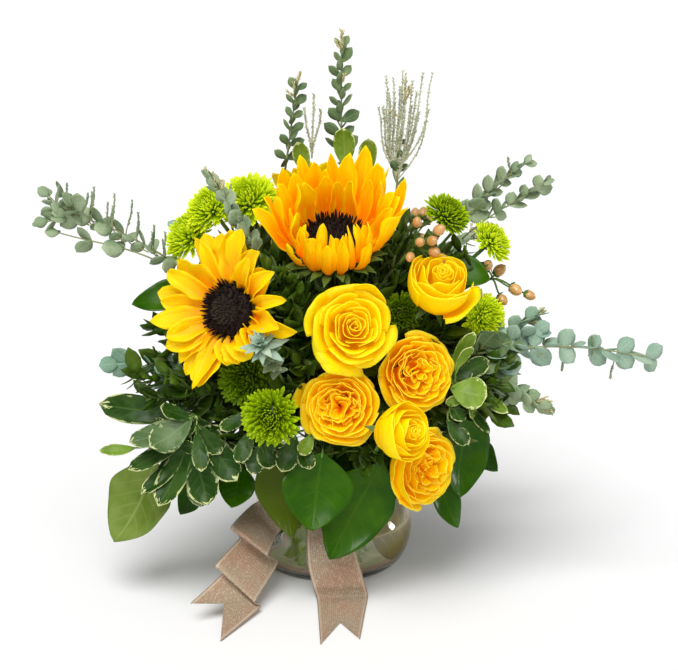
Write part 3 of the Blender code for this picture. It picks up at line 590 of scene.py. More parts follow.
def golden_head_tree():
    """Florets on a dome in the golden angle, from its middle outwards."""
    tree, given, result = new_tree("golden head", "GeometryNodeTree", (
        ("Geometry", SHAPE, None), ("Floret", OBJECT, None), ("Count", WHOLE, 200),
        ("Hollow", FLOAT, 0), ("Radius", FLOAT, 0.02), ("Dome", FLOAT, 0.01),
        ("Inner Lean", FLOAT, 0.1), ("Outer Lean", FLOAT, 1.5), ("Lean Rise", FLOAT, 1),
        ("Inner Size", FLOAT, 0.5), ("Outer Size", FLOAT, 1), ("Looseness", FLOAT, 0.1),
        ("Seed", WHOLE, 0), ("Finish", FINISH, None)), (("Geometry", SHAPE),))
    index = made(tree, "GeometryNodeInputIndex")
    share = calc(tree, "DIVIDE", calc(tree, "ADD", index, 0.5), given["Count"])
    share = spread(tree, share, given["Hollow"], 1)
    out = calc(tree, "SQRT", share)
    angle = strayed(tree, given, 1, times(tree, index, GOLDEN))
    reach = times(tree, out, given["Radius"])
    place = add(tree, "ShaderNodeCombineXYZ", {0: times(tree, reach, calc(tree, "COSINE", angle)),
        1: times(tree, reach, calc(tree, "SINE", angle)),
        2: times(tree, given["Dome"], calc(tree, "SUBTRACT", 1, share))})
    points = made(tree, "GeometryNodePoints", {
        "Count": given["Count"], "Position": place.outputs[0]})
    rise = calc(tree, "POWER", out, given["Lean Rise"])
    lean = strayed(tree, given, 2, spread(tree, rise, given["Inner Lean"], given["Outer Lean"]))
    size = spread(tree, out, given["Inner Size"], given["Outer Size"])
    size = times(tree, size, strayed(tree, given, 3))
    rotation = made(tree, "FunctionNodeAxisAngleToRotation", {"Axis": (0, 0, 1), "Angle": angle})
    rotation = turned_by(tree, rotation, (0, 1, 0), lean)
    florets = repeated(tree, points, given["Floret"], rotation, size, out, given["Finish"])
    return give(tree, result, florets)


LEAFY_SPRAY = leafy_spray_tree()
GOLDEN_HEAD = golden_head_tree()


def grown(tree, paths=(), **settings):
    """Mesh that a Geometry Nodes tree makes, in metres, from edge paths in millimetres."""
    mesh = bpy.data.meshes.new("paths")
    points, edges = [], []
    for path in paths:
        first = len(points)
        points += (np.asarray(path, float) * METRES).tolist()
        edges += [(i, i + 1) for i in range(first, len(points) - 1)]
    mesh.from_pydata(points, edges, [])
    carrier = bpy.data.objects.new("carrier", mesh)
    bpy.context.scene.collection.objects.link(carrier)
    modifier = carrier.modifiers.new("grow", "NODES")
    modifier.node_group = tree
    sockets = {item.name: item.identifier for item in tree.interface.items_tree
        if item.in_out == "INPUT"}
    for name, value in settings.items():
        modifier[sockets[name.replace("_", " ")]] = value
    depsgraph = bpy.context.evaluated_depsgraph_get()
    result = bpy.data.meshes.new_from_object(carrier.evaluated_get(depsgraph))
    bpy.data.objects.remove(carrier)
    drop_empty_slots(result)
    result.shade_smooth()
    return result


def drop_empty_slots(mesh):
    """Remove the unused material slots that come from joining."""
    used = np.empty(len(mesh.polygons), int)
    mesh.polygons.foreach_get("material_index", used)
    finishes = list(mesh.materials)
    kept = sorted(set(used.tolist()))
    mesh.materials.clear()
    for index in kept:
        mesh.materials.append(finishes[index])
    mesh.polygons.foreach_set("material_index", np.searchsorted(kept, used))


def joined(meshes):
    """One mesh of several, with their materials, texture places and tones kept."""
    if len(meshes) == 1:
        return meshes[0]
    scene = bpy.context.scene
    copies = [bpy.data.objects.new("part", mesh) for mesh in meshes]
    for copy in copies:
        scene.collection.objects.link(copy)
    with bpy.context.temp_override(active_object=copies[0], selected_editable_objects=copies):
        bpy.ops.object.join()
    result = copies[0].data
    bpy.data.objects.remove(copies[0])
    return result


def moved(mesh, centre, axis):
    """Mesh in metres, modelled on +Z at the origin, set at its centre and axis."""
    place = Matrix.Translation(Vector(centre) * METRES) @ basis(axis).to_4x4()
    mesh.transform(place)
    return mesh


# ---- shared effects

def texture_place(tree):
    """Texture place across and along the piece, each from 0 to 1."""
    split = add(tree, "ShaderNodeSeparateXYZ", {0: made(tree, "ShaderNodeUVMap")})
    return split.outputs[0], split.outputs[1]


def from_middle(tree, across):
    """How far a place lies from the line along the middle: 0 on it, 1 at the edges."""
    return calc(tree, "ABSOLUTE", calc(tree, "MULTIPLY_ADD", across, 2, -1))


def tone_of(tree):
    """The tone kept on the piece's points."""
    return add(tree, "ShaderNodeAttribute", attribute_name="tone").outputs["Fac"]


def cloudy(tree, place, size, detail, roughness=0.5):
    """Soft noise at a place."""
    return add(tree, "ShaderNodeTexNoise", {
        "Vector": place, "Scale": size, "Detail": detail, "Roughness": roughness}).outputs["Fac"]


def fibres_group():
    """Fine lines that run along a petal, set apart from petal to petal by the tone."""
    tree, given, result = new_tree("fibres", "ShaderNodeTree", (
        ("Lines", FLOAT, 18), ("Length", FLOAT, 1.5)), (("Mask", FLOAT), ("Height", FLOAT)))
    across, along = texture_place(tree)
    place = add(tree, "ShaderNodeCombineXYZ", {
        0: times(tree, across, given["Lines"]), 1: times(tree, along, given["Length"]),
        2: times(tree, tone_of(tree), 30)})
    noise = cloudy(tree, place.outputs[0], 1, 2, 0.6)
    return give(tree, result, spread(tree, noise, 0, 1, 0.3, 0.7), noise)


def veins_group():
    """Midrib and slanting side veins of a leaf."""
    tree, given, result = new_tree("leaf veins", "ShaderNodeTree", (
        ("Pairs", FLOAT, 7), ("Slant", FLOAT, 0.5), ("Midrib", FLOAT, 0.035),
    ), (("Mask", FLOAT), ("Height", FLOAT)))
    across, along = texture_place(tree)
    aside = calc(tree, "ABSOLUTE", calc(tree, "SUBTRACT", across, 0.5))
    midrib = spread(tree, aside, 1, 0, 0, given["Midrib"])
    row = calc(tree, "SUBTRACT", along, times(tree, aside, given["Slant"]))
    row = calc(tree, "FRACT", times(tree, row, given["Pairs"]))
    vein = calc(tree, "ABSOLUTE", calc(tree, "SUBTRACT", row, 0.5))
    side = spread(tree, vein, 0.55, 0, 0, 0.1)
    faded = times(tree, side, spread(tree, aside, 1, 0.2, 0.1, 0.48))
    mask = calc(tree, "MAXIMUM", midrib, faded)
    pillow = spread(tree, vein, 0, 0.5, 0, 0.45)
    return give(tree, result, mask, calc(tree, "SUBTRACT", pillow, mask))


def mottle_group():
    """Soft blotches over a surface, by its place in the piece."""
    tree, given, result = new_tree("mottle", "ShaderNodeTree", (
        ("Size", FLOAT, 60), ("Low", FLOAT, 0.35), ("High", FLOAT, 0.65),
    ), (("Mask", FLOAT), ("Height", FLOAT)))
    place = add(tree, "ShaderNodeTexCoord").outputs["Object"]
    noise = cloudy(tree, place, given["Size"], 3, 0.55)
    mask = spread(tree, noise, 0, 1, given["Low"], given["High"])
    return give(tree, result, mask, noise)


def margin_group():
    """Ragged band along the outline of a leaf or petal."""
    tree, given, result = new_tree("margin", "ShaderNodeTree", (
        ("Width", FLOAT, 0.1), ("Raggedness", FLOAT, 0.1), ("Grain", FLOAT, 14),
    ), (("Mask", FLOAT),))
    across, along = texture_place(tree)
    edge = calc(tree, "MAXIMUM", from_middle(tree, across), spread(tree, along, 0, 1, 0.5, 1))
    place = add(tree, "ShaderNodeCombineXYZ", {
        0: across, 1: along, 2: times(tree, tone_of(tree), 9)})
    noise = cloudy(tree, place.outputs[0], given["Grain"], 2)
    ragged = calc(tree, "MULTIPLY_ADD", calc(tree, "SUBTRACT", noise, 0.5),
        given["Raggedness"], edge)
    start = calc(tree, "SUBTRACT", 1, given["Width"])
    mask = spread(tree, ragged, 0, 1, start, calc(tree, "ADD", start, 0.03))
    return give(tree, result, mask)


FIBRES = fibres_group()
VEINS = veins_group()
MOTTLE = mottle_group()
MARGIN = margin_group()


def effect(tree, group, **values):
    """Place a shared effect in a material with its own values."""
    item = tree.nodes.new("ShaderNodeGroup")
    item.node_tree = group
    for name, value in values.items():
        item.inputs[name].default_value = value
    return item.outputs


def mask_of(tree, group, **values):
    """Mask of a shared effect, from 0 to 1."""
    return effect(tree, group, **values)["Mask"]


def relief(group, **values):
    """Height of a shared effect, as a function of a material's node tree."""
    return lambda tree: effect(tree, group, **values)["Height"]


def bumped(tree, height, strength):
    """Normal of a fine relief."""
    return made(tree, "ShaderNodeBump", {
        "Distance": 0.0005, "Height": height, "Strength": strength})


def new_material(name):
    """Material, its node tree and the shader in it."""
    material = bpy.data.materials.new(name)
    material.use_nodes = True
    return material, material.node_tree, material.node_tree.nodes["Principled BSDF"]


def finish(name, colour, height, bump, roughness, glow=0, **sockets):
    """Principled material; colour and height are built by functions of its node tree.

    glow stands for the light that comes through a thin petal or leaf.
    """
    material, tree, shader = new_material(name)
    inputs = shader.inputs
    inputs["Roughness"].default_value = roughness
    for label, value in sockets.items():
        inputs[label.replace("_", " ")].default_value = value
    tint = colour(tree)
    tree.links.new(tint, inputs["Base Color"])
    if glow:
        tree.links.new(tint, inputs["Emission Color"])
        inputs["Emission Strength"].default_value = glow
    tree.links.new(bumped(tree, height(tree), bump), inputs["Normal"])
    return material


# ---- finishes

def petal_finish(name, foot, middle, tip, veins, glow):
    """Sunflower petal: deep at its foot, bright at its tip, with darker lines."""
    def colour(tree):
        across, along = texture_place(tree)
        base = ramp(tree, along, ((0, foot), (0.75, tip), (0.38, middle)))
        base = tinted(tree, base, mask_of(tree, FIBRES, Lines=9, Length=1.2), 0.45, veins)
        edge = spread(tree, from_middle(tree, across), 0, 0.6, 0.55, 1)
        return mixed(tree, edge, base, tip)
    return finish(name, colour, relief(FIBRES, Lines=16, Length=0.8), 0.9, 0.5, glow,
        Subsurface_Weight=0.25, Subsurface_Scale=0.005,
        Subsurface_Radius=(1, 0.5, 0.04), Specular_IOR_Level=0.1)


def rose_finish(name, deep, warm, body, rim):
    """Rose petal: the tone runs from the depth of the flower to the petal's rim; the deep orange low in the
    flower is painted shade, and the paler rim a painted highlight.
    """
    def colour(tree):
        # Deep orange low in the flower, painted shade; paler at the rim, a painted highlight.
        base = ramp(tree, tone_of(tree), (
            (0, deep), (1, rim), (0.38, warm), (0.68, body), (0.93, body)))
        base = tinted(tree, base, mask_of(tree, MOTTLE, Size=70), 0.22, warm)
        return tinted(tree, base, mask_of(tree, FIBRES, Lines=14, Length=1), 0.16, warm)
    return finish(name, colour, relief(FIBRES, Lines=22, Length=1.2), 0.35, 0.45, 0.1,
        Subsurface_Weight=0.4, Subsurface_Scale=0.005,
        Subsurface_Radius=(1, 0.55, 0.04), Specular_IOR_Level=0.12)


def floret_finish(name, foot, body, tip, glow=0):
    """Chrysanthemum floret: dark at its foot and bright at its tip."""
    def colour(tree):
        along = texture_place(tree)[1]
        base = ramp(tree, along, ((0, foot), (1, tip), (0.5, body)))
        shade = spread(tree, tone_of(tree), 0.55, 0, 0, 0.75)
        return mixed(tree, shade, base, foot)
    return finish(name, colour, relief(FIBRES, Lines=4, Length=1), 0.5, 0.5, glow,
        Subsurface_Weight=0.1, Subsurface_Scale=0.003,
        Subsurface_Radius=(0.6, 1, 0.1), Specular_IOR_Level=0.12)


def leaf_finish(name, body, other, vein, roughness, pairs, bump, coat=0, under=None, glow=0):
    """Leaf with veins; other is the blotches' colour and under that of its lower side."""
    def colour(tree):
        base = mixed(tree, mask_of(tree, MOTTLE, Size=45), body, other)
        base = tinted(tree, base, mask_of(tree, VEINS, Pairs=pairs), 0.6, vein)
        if under:
            base = mixed(tree, spread(tree, tone_of(tree), 0, 1, 0.45, 0.55), base, under)
        return base
    return finish(name, colour, relief(VEINS, Pairs=pairs), bump, roughness, glow,
        Coat_Weight=coat, Coat_Roughness=0.25, Specular_IOR_Level=0.08)


def edged_finish(name, body, other, vein, edge):
    """Variegated leaf: grey-green blotches in the middle and a ragged cream edge."""
    def colour(tree):
        blotch = mask_of(tree, MOTTLE, Size=55, Low=0.42, High=0.6)
        base = mixed(tree, blotch, body, other)
        base = tinted(tree, base, mask_of(tree, VEINS, Pairs=6, Midrib=0.05), 0.5, vein)
        margin = mask_of(tree, MARGIN, Width=0.08, Raggedness=0.95, Grain=10)
        reach = spread(tree, texture_place(tree)[1], 0.16, 0.92, 0.4, 0.85)
        return tinted(tree, base, margin, reach, edge)
    return finish(name, colour, relief(VEINS, Pairs=6), 0.4, 0.36, Coat_Weight=0.08,
        Coat_Roughness=0.3, Specular_IOR_Level=0.08)


def speckled_finish(name, body, other, size, roughness=0.5, bump=0.4, **sockets):
    """Plain plant surface with soft blotches of a second colour."""
    def colour(tree):
        return mixed(tree, mask_of(tree, MOTTLE, Size=size), body, other)
    sockets.setdefault("Specular_IOR_Level", 0.2)
    return finish(name, colour, relief(MOTTLE, Size=size * 4), bump, roughness, **sockets)


def weave_finish():
    """Open weave with a dull sheen, rosy patches and pale wired edges; darker between the threads, partly the
    gaps of the weave and partly painted shade, with fine pale speckles that are painted glints.
    """
    def threads(tree):
        across, along = texture_place(tree)
        warp = calc(tree, "SINE", times(tree, across, TURN * WARP_THREADS))
        weft = calc(tree, "SINE", times(tree, along, TURN * WEFT_THREADS))
        return times(tree, calc(tree, "ADD", warp, weft), 0.25)

    def colour(tree):
        across = texture_place(tree)[0]
        # Darker between the threads: partly the gaps of the open weave, partly painted shade in its hollows.
        depth = spread(tree, threads(tree), 0, 1, -0.5, 0.35)
        base = mixed(tree, depth, (0.235, 0.155, 0.092), (0.5, 0.375, 0.245))
        rosy = mask_of(tree, MOTTLE, Size=34, Low=0.45, High=0.68)
        base = tinted(tree, base, rosy, 0.65, (0.46, 0.23, 0.14))
        # Fine pale speckles: painted glints on the shiny threads.
        pale = mask_of(tree, MOTTLE, Size=620, Low=0.5, High=0.66)
        base = tinted(tree, base, pale, 0.5, (0.76, 0.68, 0.53))
        edge = spread(tree, from_middle(tree, across), 0, 0.7, 0.88, 0.94)
        return mixed(tree, edge, base, (0.66, 0.54, 0.4))
    return finish("woven ribbon", colour, threads, 0.7, 0.45, Metallic=0.15, Sheen_Weight=0.15)


def clear_finish(name, colour, ior):
    """Clear glass or water, which lets light straight through to what is inside."""
    material, tree, shader = new_material(name)
    for label, value in (("Base Color", (*colour, 1)), ("Roughness", 0), ("IOR", ior),
            ("Transmission Weight", 1)):
        shader.inputs[label].default_value = value
    waves = bumped(tree, effect(tree, MOTTLE, Size=18)["Height"], 0.05)
    tree.links.new(waves, shader.inputs["Normal"])
    shadow = add(tree, "ShaderNodeLightPath").outputs["Is Shadow Ray"]
    through = add(tree, "ShaderNodeBsdfTransparent", {"Color": (0.58, 0.58, 0.55, 1)})
    both = add(tree, "ShaderNodeMixShader", {0: shadow, 1: shader.outputs[0], 2: through.outputs[0]})
    tree.links.new(both.outputs[0], tree.nodes["Material Output"].inputs["Surface"])
    return material


# The top sunflower's cupped petals glow twice as much as those of the left and back flowers: painted light in
# the shaded hollow of the cup, and painted shade on the other two.
SHADED_SUN_PETAL = petal_finish("sunflower petal", (0.95, 0.24, 0), (0.95, 0.48, 0),
    (0.94, 0.67, 0), (0.93, 0.35, 0), 0.08)
LIT_CUP_PETAL = petal_finish("cupped sunflower petal", (0.95, 0.19, 0), (0.98, 0.37, 0),
    (1.0, 0.69, 0), (0.98, 0.28, 0), 0.16)
ROSE_LEMON = rose_finish("lemon rose petal", (1.0, 0.34, 0), (1.0, 0.54, 0),
    (1.0, 0.71, 0), (1.0, 0.82, 0.02))
ROSE_GOLD = rose_finish("golden rose petal", (0.92, 0.19, 0), (0.97, 0.38, 0),
    (0.98, 0.6, 0), (1.0, 0.78, 0.04))
LIME = floret_finish("lime floret", (0.24, 0.4, 0), (0.5, 0.68, 0), (0.8, 0.92, 0.02), 0.08)
# Darker copies of the lime floret, without its glow: painted shade on chrysanthemums that sit in shade.
LIME_HALF_IN_SHADE = floret_finish("middle green floret", (0.07, 0.15, 0), (0.24, 0.4, 0), (0.42, 0.6, 0))
LIME_IN_SHADE = floret_finish("green floret", (0.02, 0.07, 0), (0.09, 0.19, 0), (0.2, 0.34, 0))
CALYX = speckled_finish("green calyx", (0.07, 0.13, 0.02), (0.12, 0.22, 0.03), 90.0)
DISC_DARK = speckled_finish("dark disc floret", (0.008, 0.003, 0.002), (0.022, 0.009, 0.005),
    300.0, 0.7)
DISC_GREY = speckled_finish("grey disc floret", (0.035, 0.026, 0.016), (0.075, 0.06, 0.036),
    300.0, 0.75)
GUMS = {
    "blue": leaf_finish("blue-green gum leaf", (0.2, 0.34, 0.24), (0.33, 0.47, 0.35),
        (0.48, 0.58, 0.4), 0.6, 5.0, 0.3),
    "grey": leaf_finish("grey-green gum leaf", (0.2, 0.29, 0.16), (0.37, 0.45, 0.28),
        (0.5, 0.55, 0.33), 0.6, 5.0, 0.3),
    "dark": leaf_finish("dark gum leaf", (0.085, 0.155, 0.065), (0.22, 0.3, 0.14),
        (0.42, 0.48, 0.2), 0.5, 5.0, 0.3),
    "pale": leaf_finish("pale gum leaf", (0.24, 0.37, 0.28), (0.38, 0.5, 0.38),
        (0.5, 0.58, 0.43), 0.6, 5.0, 0.3),
}
GUM_FROST = leaf_finish("frosted gum leaf", (0.26, 0.4, 0.3), (0.5, 0.6, 0.46),
    (0.62, 0.7, 0.54), 0.6, 5.0, 0.3)
GUM_STALK = speckled_finish("gum stalk", (0.22, 0.26, 0.09), (0.34, 0.33, 0.15), 120.0)
PLUME_BUD = speckled_finish("plume bud", (0.4, 0.42, 0.27), (0.66, 0.68, 0.5), 200.0, 0.7)
BEIGE_BUD = speckled_finish("beige bud", (0.5, 0.44, 0.2), (0.74, 0.68, 0.42), 200.0, 0.7)
SALAL = leaf_finish("broad leaf", (0.018, 0.078, 0), (0.036, 0.115, 0),
    (0.055, 0.14, 0.003), 0.28, 7.0, 0.35, 0.06, (0.06, 0.095, 0))
SALAL_LIGHT = leaf_finish("light broad leaf", (0.115, 0.185, 0.02), (0.175, 0.245, 0.045),
    (0.3, 0.37, 0.11), 0.42, 7.0, 0.5, 0.08, (0.15, 0.22, 0.04))
EDGED = edged_finish("cream-edged leaf", (0.014, 0.052, 0.002), (0.04, 0.092, 0.014),
    (0.09, 0.16, 0.035), (0.66, 0.7, 0.32))
EDGED_LIGHT = edged_finish("light cream-edged leaf", (0.13, 0.23, 0.015), (0.19, 0.31, 0.035),
    (0.3, 0.42, 0.12), (0.78, 0.84, 0.4))
EDGED_PALE = edged_finish("underside of a cream-edged leaf", (0.08, 0.14, 0.045), (0.13, 0.2, 0.08),
    (0.23, 0.31, 0.15), (0.64, 0.69, 0.36))
FERN = leaf_finish("fine green leaf", (0.045, 0.082, 0.012), (0.125, 0.175, 0.05),
    (0.16, 0.21, 0.07), 0.55, 4.0, 0.2)
FERN_BROAD = leaf_finish("dark filler leaf", (0.02, 0.062, 0.003), (0.075, 0.135, 0.008),
    (0.12, 0.2, 0.03), 0.42, 5.0, 0.3, 0.1)
STEM = speckled_finish("green stem", (0.07, 0.16, 0.02), (0.16, 0.28, 0.05), 80.0, 0.5)
# The stems in the water are lighter than the others and glow: painted light inside the bowl.
WET_STEM = speckled_finish("stem in water", (0.15, 0.23, 0.02), (0.28, 0.35, 0.06), 80.0, 0.5, 0.1,
    glow=0.12)
# The leaves that line the bowl glow: painted light inside the glass.
LINING = speckled_finish("leaf in water", (0.22, 0.23, 0.12), (0.36, 0.35, 0.21), 60.0, 0.6,
    glow=0.3)
# The golden lining at the right of the bowl is a painted reflection of the warm tints the glass shows there,
# and glows as painted light.
LINING_WITH_REFLECTION = leaf_finish("golden lining with painted reflection", (0.12, 0.09, 0), (0.24, 0.17, 0),
    (0.44, 0.38, 0.12), 0.6, 6.0, 0.4, glow=0.14)
# Pinkish-brown disc on the floor of the bowl: a painted reflection in the thick glass of the foot, glowing as
# painted light.
FOOT_REFLECTION = speckled_finish("painted reflection in the glass foot", (0.3, 0.19, 0.13), (0.44, 0.3, 0.21),
    60.0, 0.6, glow=0.2)
BERRY = speckled_finish("peach berry", (0.52, 0.25, 0.07), (0.7, 0.41, 0.16), 90.0, 0.3, 0.15,
    Coat_Weight=0.5, Coat_Roughness=0.15)
WEAVE = weave_finish()
GLASS = clear_finish("clear glass", (0.97, 0.98, 0.94), 1.5)
WATER = clear_finish("clear water", (0.97, 0.97, 0.89), 1.33)


# ---- petals and leaves

def petal(length, width, leans, rows=12, columns=7, widest=0.5, foot=0.3, point=0.8,
        cup=0.4, groove=0.0, wave=0.0, twist=0.0, phase=0.0):
    """Grid of a petal or leaf that grows from the origin, leaning from +Z towards +X.

    leans are its angles from +Z, in degrees, at its foot, middle and tip; cup is the
    angle that half its width is rolled through, towards the inner face.
    """
    t = np.linspace(0, 1, rows)
    lean = np.radians(np.interp(t, np.linspace(0, 1, len(leans)), leans))
    way = np.stack([np.sin(lean), np.zeros(rows), np.cos(lean)], -1)
    face = np.stack([-np.cos(lean), np.zeros(rows), np.sin(lean)], -1)
    step = (way[1:] + way[:-1]) * (length / (rows - 1) / 2)
    spine = np.concatenate([np.zeros((1, 3)), np.cumsum(step, axis=0)])
    side = np.tile((0.0, -1.0, 0.0), (rows, 1))
    turn = (twist * t)[:, None]
    side, face = side * np.cos(turn) + face * np.sin(turn), face * np.cos(turn) - side * np.sin(turn)
    rise = foot + (1 - foot) * np.sin(np.pi / 2 * np.clip(t / widest, 0, 1))
    fall = np.cos(np.pi / 2 * np.clip((t - widest) / (1 - widest), 0, 1)) ** point
    half = np.maximum(width / 2 * rise * fall, 0.3)
    s = np.linspace(-1, 1, columns)
    roll = np.maximum(np.broadcast_to(cup, rows), 1e-3)[:, None]
    aside = np.sin(roll * s) / roll * half[:, None]
    lift = (1 - np.cos(roll * s)) / roll * half[:, None]
    lift = lift + groove * np.cos(s * 3 * np.pi) * half[:, None] * np.sin(np.pi * t)[:, None] ** 0.5
    ripple = np.sin(t * 9 + phase)[:, None] * np.abs(s) ** 3 * np.sign(s + 1e-6) ** 2
    ripple = ripple + 0.6 * np.sin(t * 15 + phase * 2.3)[:, None] * s ** 3
    lift = lift + wave * ripple * half[:, None]
    return spine[:, None] + side[:, None] * aside[..., None] + face[:, None] * lift[..., None]


def turned_grid(grid, angle):
    """Grid turned about +Z."""
    cos, sin = math.cos(angle), math.sin(angle)
    return grid @ np.array(((cos, sin, 0), (-sin, cos, 0), (0, 0, 1)))


def laid(grid, foot, tip, face):
    """Grid of a leaf stretched from its foot to its tip, its upper side towards face."""
    foot, tip = np.array(foot, float), np.array(tip, float)
    end = grid[-1].mean(axis=0)
    run = tip - foot
    length = np.linalg.norm(run)
    z = run / length
    y = np.cross(z, -np.array(face, float))
    y /= np.linalg.norm(y)
    x = np.cross(y, z)
    lean = math.atan2(end[0], end[2])
    cos, sin = math.cos(lean), math.sin(lean)
    upright = grid @ np.array(((cos, 0, sin), (0, 1, 0), (-sin, 0, cos)))
    return foot + upright * (length / np.linalg.norm(end)) @ np.stack([x, y, z])


def source_shape(name, grid, thickness):
    """Hidden leaf or floret that a node tree repeats."""
    heap = Heap()
    heap.add(*sheet(grid, thickness), 0.0)
    mesh = heap.mesh(STEM)
    mesh.attributes.remove(mesh.attributes["tone"])
    return bpy.data.objects.new(name, mesh)


# ---- bowl and ribbon

def lathe(profile, steps):
    """Points and faces turned round +Z from a closed profile of radius and height."""
    profile = np.array(profile, float)
    angles = np.linspace(0, TURN, steps, endpoint=False)
    rings = np.stack([profile[:, None, 0] * np.cos(angles), profile[:, None, 0] * np.sin(angles),
        np.repeat(profile[:, 1:], steps, axis=1)], -1)
    index = np.arange(len(profile) * steps).reshape(len(profile), steps)
    below = np.roll(index, -1, axis=0)
    faces = np.stack([index, below, np.roll(below, -1, axis=1), np.roll(index, -1, axis=1)], -1)
    across = np.tile(np.arange(steps) / steps, len(profile))
    along = np.repeat(np.linspace(0, 1, len(profile)), steps)
    return rings.reshape(-1, 3), faces.reshape(-1, 4), np.stack([across, along], -1)


def cleaned(mesh):
    """Merge the points that meet on the axis and face the mesh outwards."""
    bm = bmesh.new()
    bm.from_mesh(mesh)
    bmesh.ops.remove_doubles(bm, verts=bm.verts, dist=2e-6)
    bmesh.ops.dissolve_degenerate(bm, edges=bm.edges, dist=1e-7)
    bmesh.ops.recalc_face_normals(bm, faces=bm.faces)
    bm.to_mesh(mesh)
    bm.free()
    mesh.shade_smooth()
    mesh.set_sharp_from_angle(angle=math.radians(40))
    return mesh


def turned_mesh(profile, steps, tone, material):
    """Closed mesh turned round +Z from its profile."""
    heap = Heap()
    heap.add(*lathe(profile, steps), tone)
    return cleaned(heap.mesh(material))


def neck_radius(height):
    """Outer radius of the bowl between its belly and its neck."""
    rise = (height - BELLY_HEIGHT) / (NECK_HEIGHT - BELLY_HEIGHT)
    return NECK_RADIUS + (BELLY_RADIUS - NECK_RADIUS) * (1 + math.cos(math.pi * rise)) / 2


def bowl_profiles():
    """Outer and inner profile of the bowl, from its middle below to its rim."""
    outer, inner = [(0, 0), (FOOT_RADIUS * 0.98, 0)], [(0, FLOOR)]
    inner_foot, inner_belly = FOOT_RADIUS - 8, BELLY_RADIUS - WALL
    for step in range(CURVE_STEPS + 1):
        angle = math.radians(90 * step / CURVE_STEPS)
        reach, lift = math.sin(angle), 1 - math.cos(angle)
        height = BELLY_HEIGHT * lift + (0.6 if step == 0 else 0)
        outer.append((FOOT_RADIUS + (BELLY_RADIUS - FOOT_RADIUS) * reach, height))
        inner.append((inner_foot + (inner_belly - inner_foot) * reach,
            FLOOR + (BELLY_HEIGHT - FLOOR) * lift))
    for step in range(1, CURVE_STEPS + 1):
        height = BELLY_HEIGHT + (NECK_HEIGHT - BELLY_HEIGHT) * step / CURVE_STEPS
        outer.append((neck_radius(height), height))
        inner.append((neck_radius(height) - WALL, height))
    return outer, inner


def build_bowl():
    """Glass bowl and the water in it, which reaches just into the wall."""
    outer, inner = bowl_profiles()
    rim = [(RIM_RADIUS - WALL / 2 + WALL / 2 * math.cos(math.radians(angle)),
         RIM_HEIGHT - WALL / 2 + WALL / 2 * math.sin(math.radians(angle)))
        for angle in range(0, 181, 30)]
    bowl = turned_mesh(outer + rim + inner[::-1], BOWL_STEPS, 0.5, GLASS)
    place_piece(bowl, "bowl_of_glass", "clear_glass", "glass_bowl")
    skin = 0.15
    body = [(0, FLOOR - skin)] + [(radius + skin, height - skin * 0.5) for radius, height in inner[1:]
        if height < WATER_HEIGHT]
    last = body[-1][0] - 1.2
    body += [(last + 1.4, WATER_HEIGHT + 0.8), (last - 0.6, WATER_HEIGHT), (0, WATER_HEIGHT)]
    place_piece(turned_mesh(body, BOWL_STEPS, 0.5, WATER), "water_in_bowl", "clear_glass")


def ribbon_grid(rows, notch):
    """Smooth grid of a ribbon through its rows of edges, with a swallow-tail end."""
    rows = np.array(rows, float)
    t = (np.arange(TAIL_STEPS) / TAIL_STEPS)[:, None, None]
    spots = []
    for i in range(len(rows) - 1):
        before, after = rows[max(i - 1, 0)], rows[min(i + 2, len(rows) - 1)]
        leave = (rows[i + 1] - before) * TAIL_EASE / 2
        arrive = (after - rows[i]) * TAIL_EASE / 2
        spots.append(rows[i] * (2 * t ** 3 - 3 * t * t + 1) + leave * (t ** 3 - 2 * t * t + t)
            + rows[i + 1] * (3 * t * t - 2 * t ** 3) + arrive * (t ** 3 - t * t))
    spots = np.concatenate(spots + [rows[-1:]])
    share = np.linspace(0, 1, TAIL_COLUMNS)
    grid = spots[:, None, 0] * (1 - share)[None, :, None] + spots[:, None, 1] * share[None, :, None]
    cut = 1 - np.abs(2 * share - 1)
    first = (len(rows) - 2) * TAIL_STEPS
    start = (rows[-2][0] + rows[-2][1]) / 2
    for row in range(first + 1, len(spots)):
        t = (row - first) / TAIL_STEPS
        middle = (spots[row][0] + spots[row][1]) / 2
        grid[row] += np.outer(cut, start * (1 - t) + np.array(notch, float) * t - middle)
    return grid


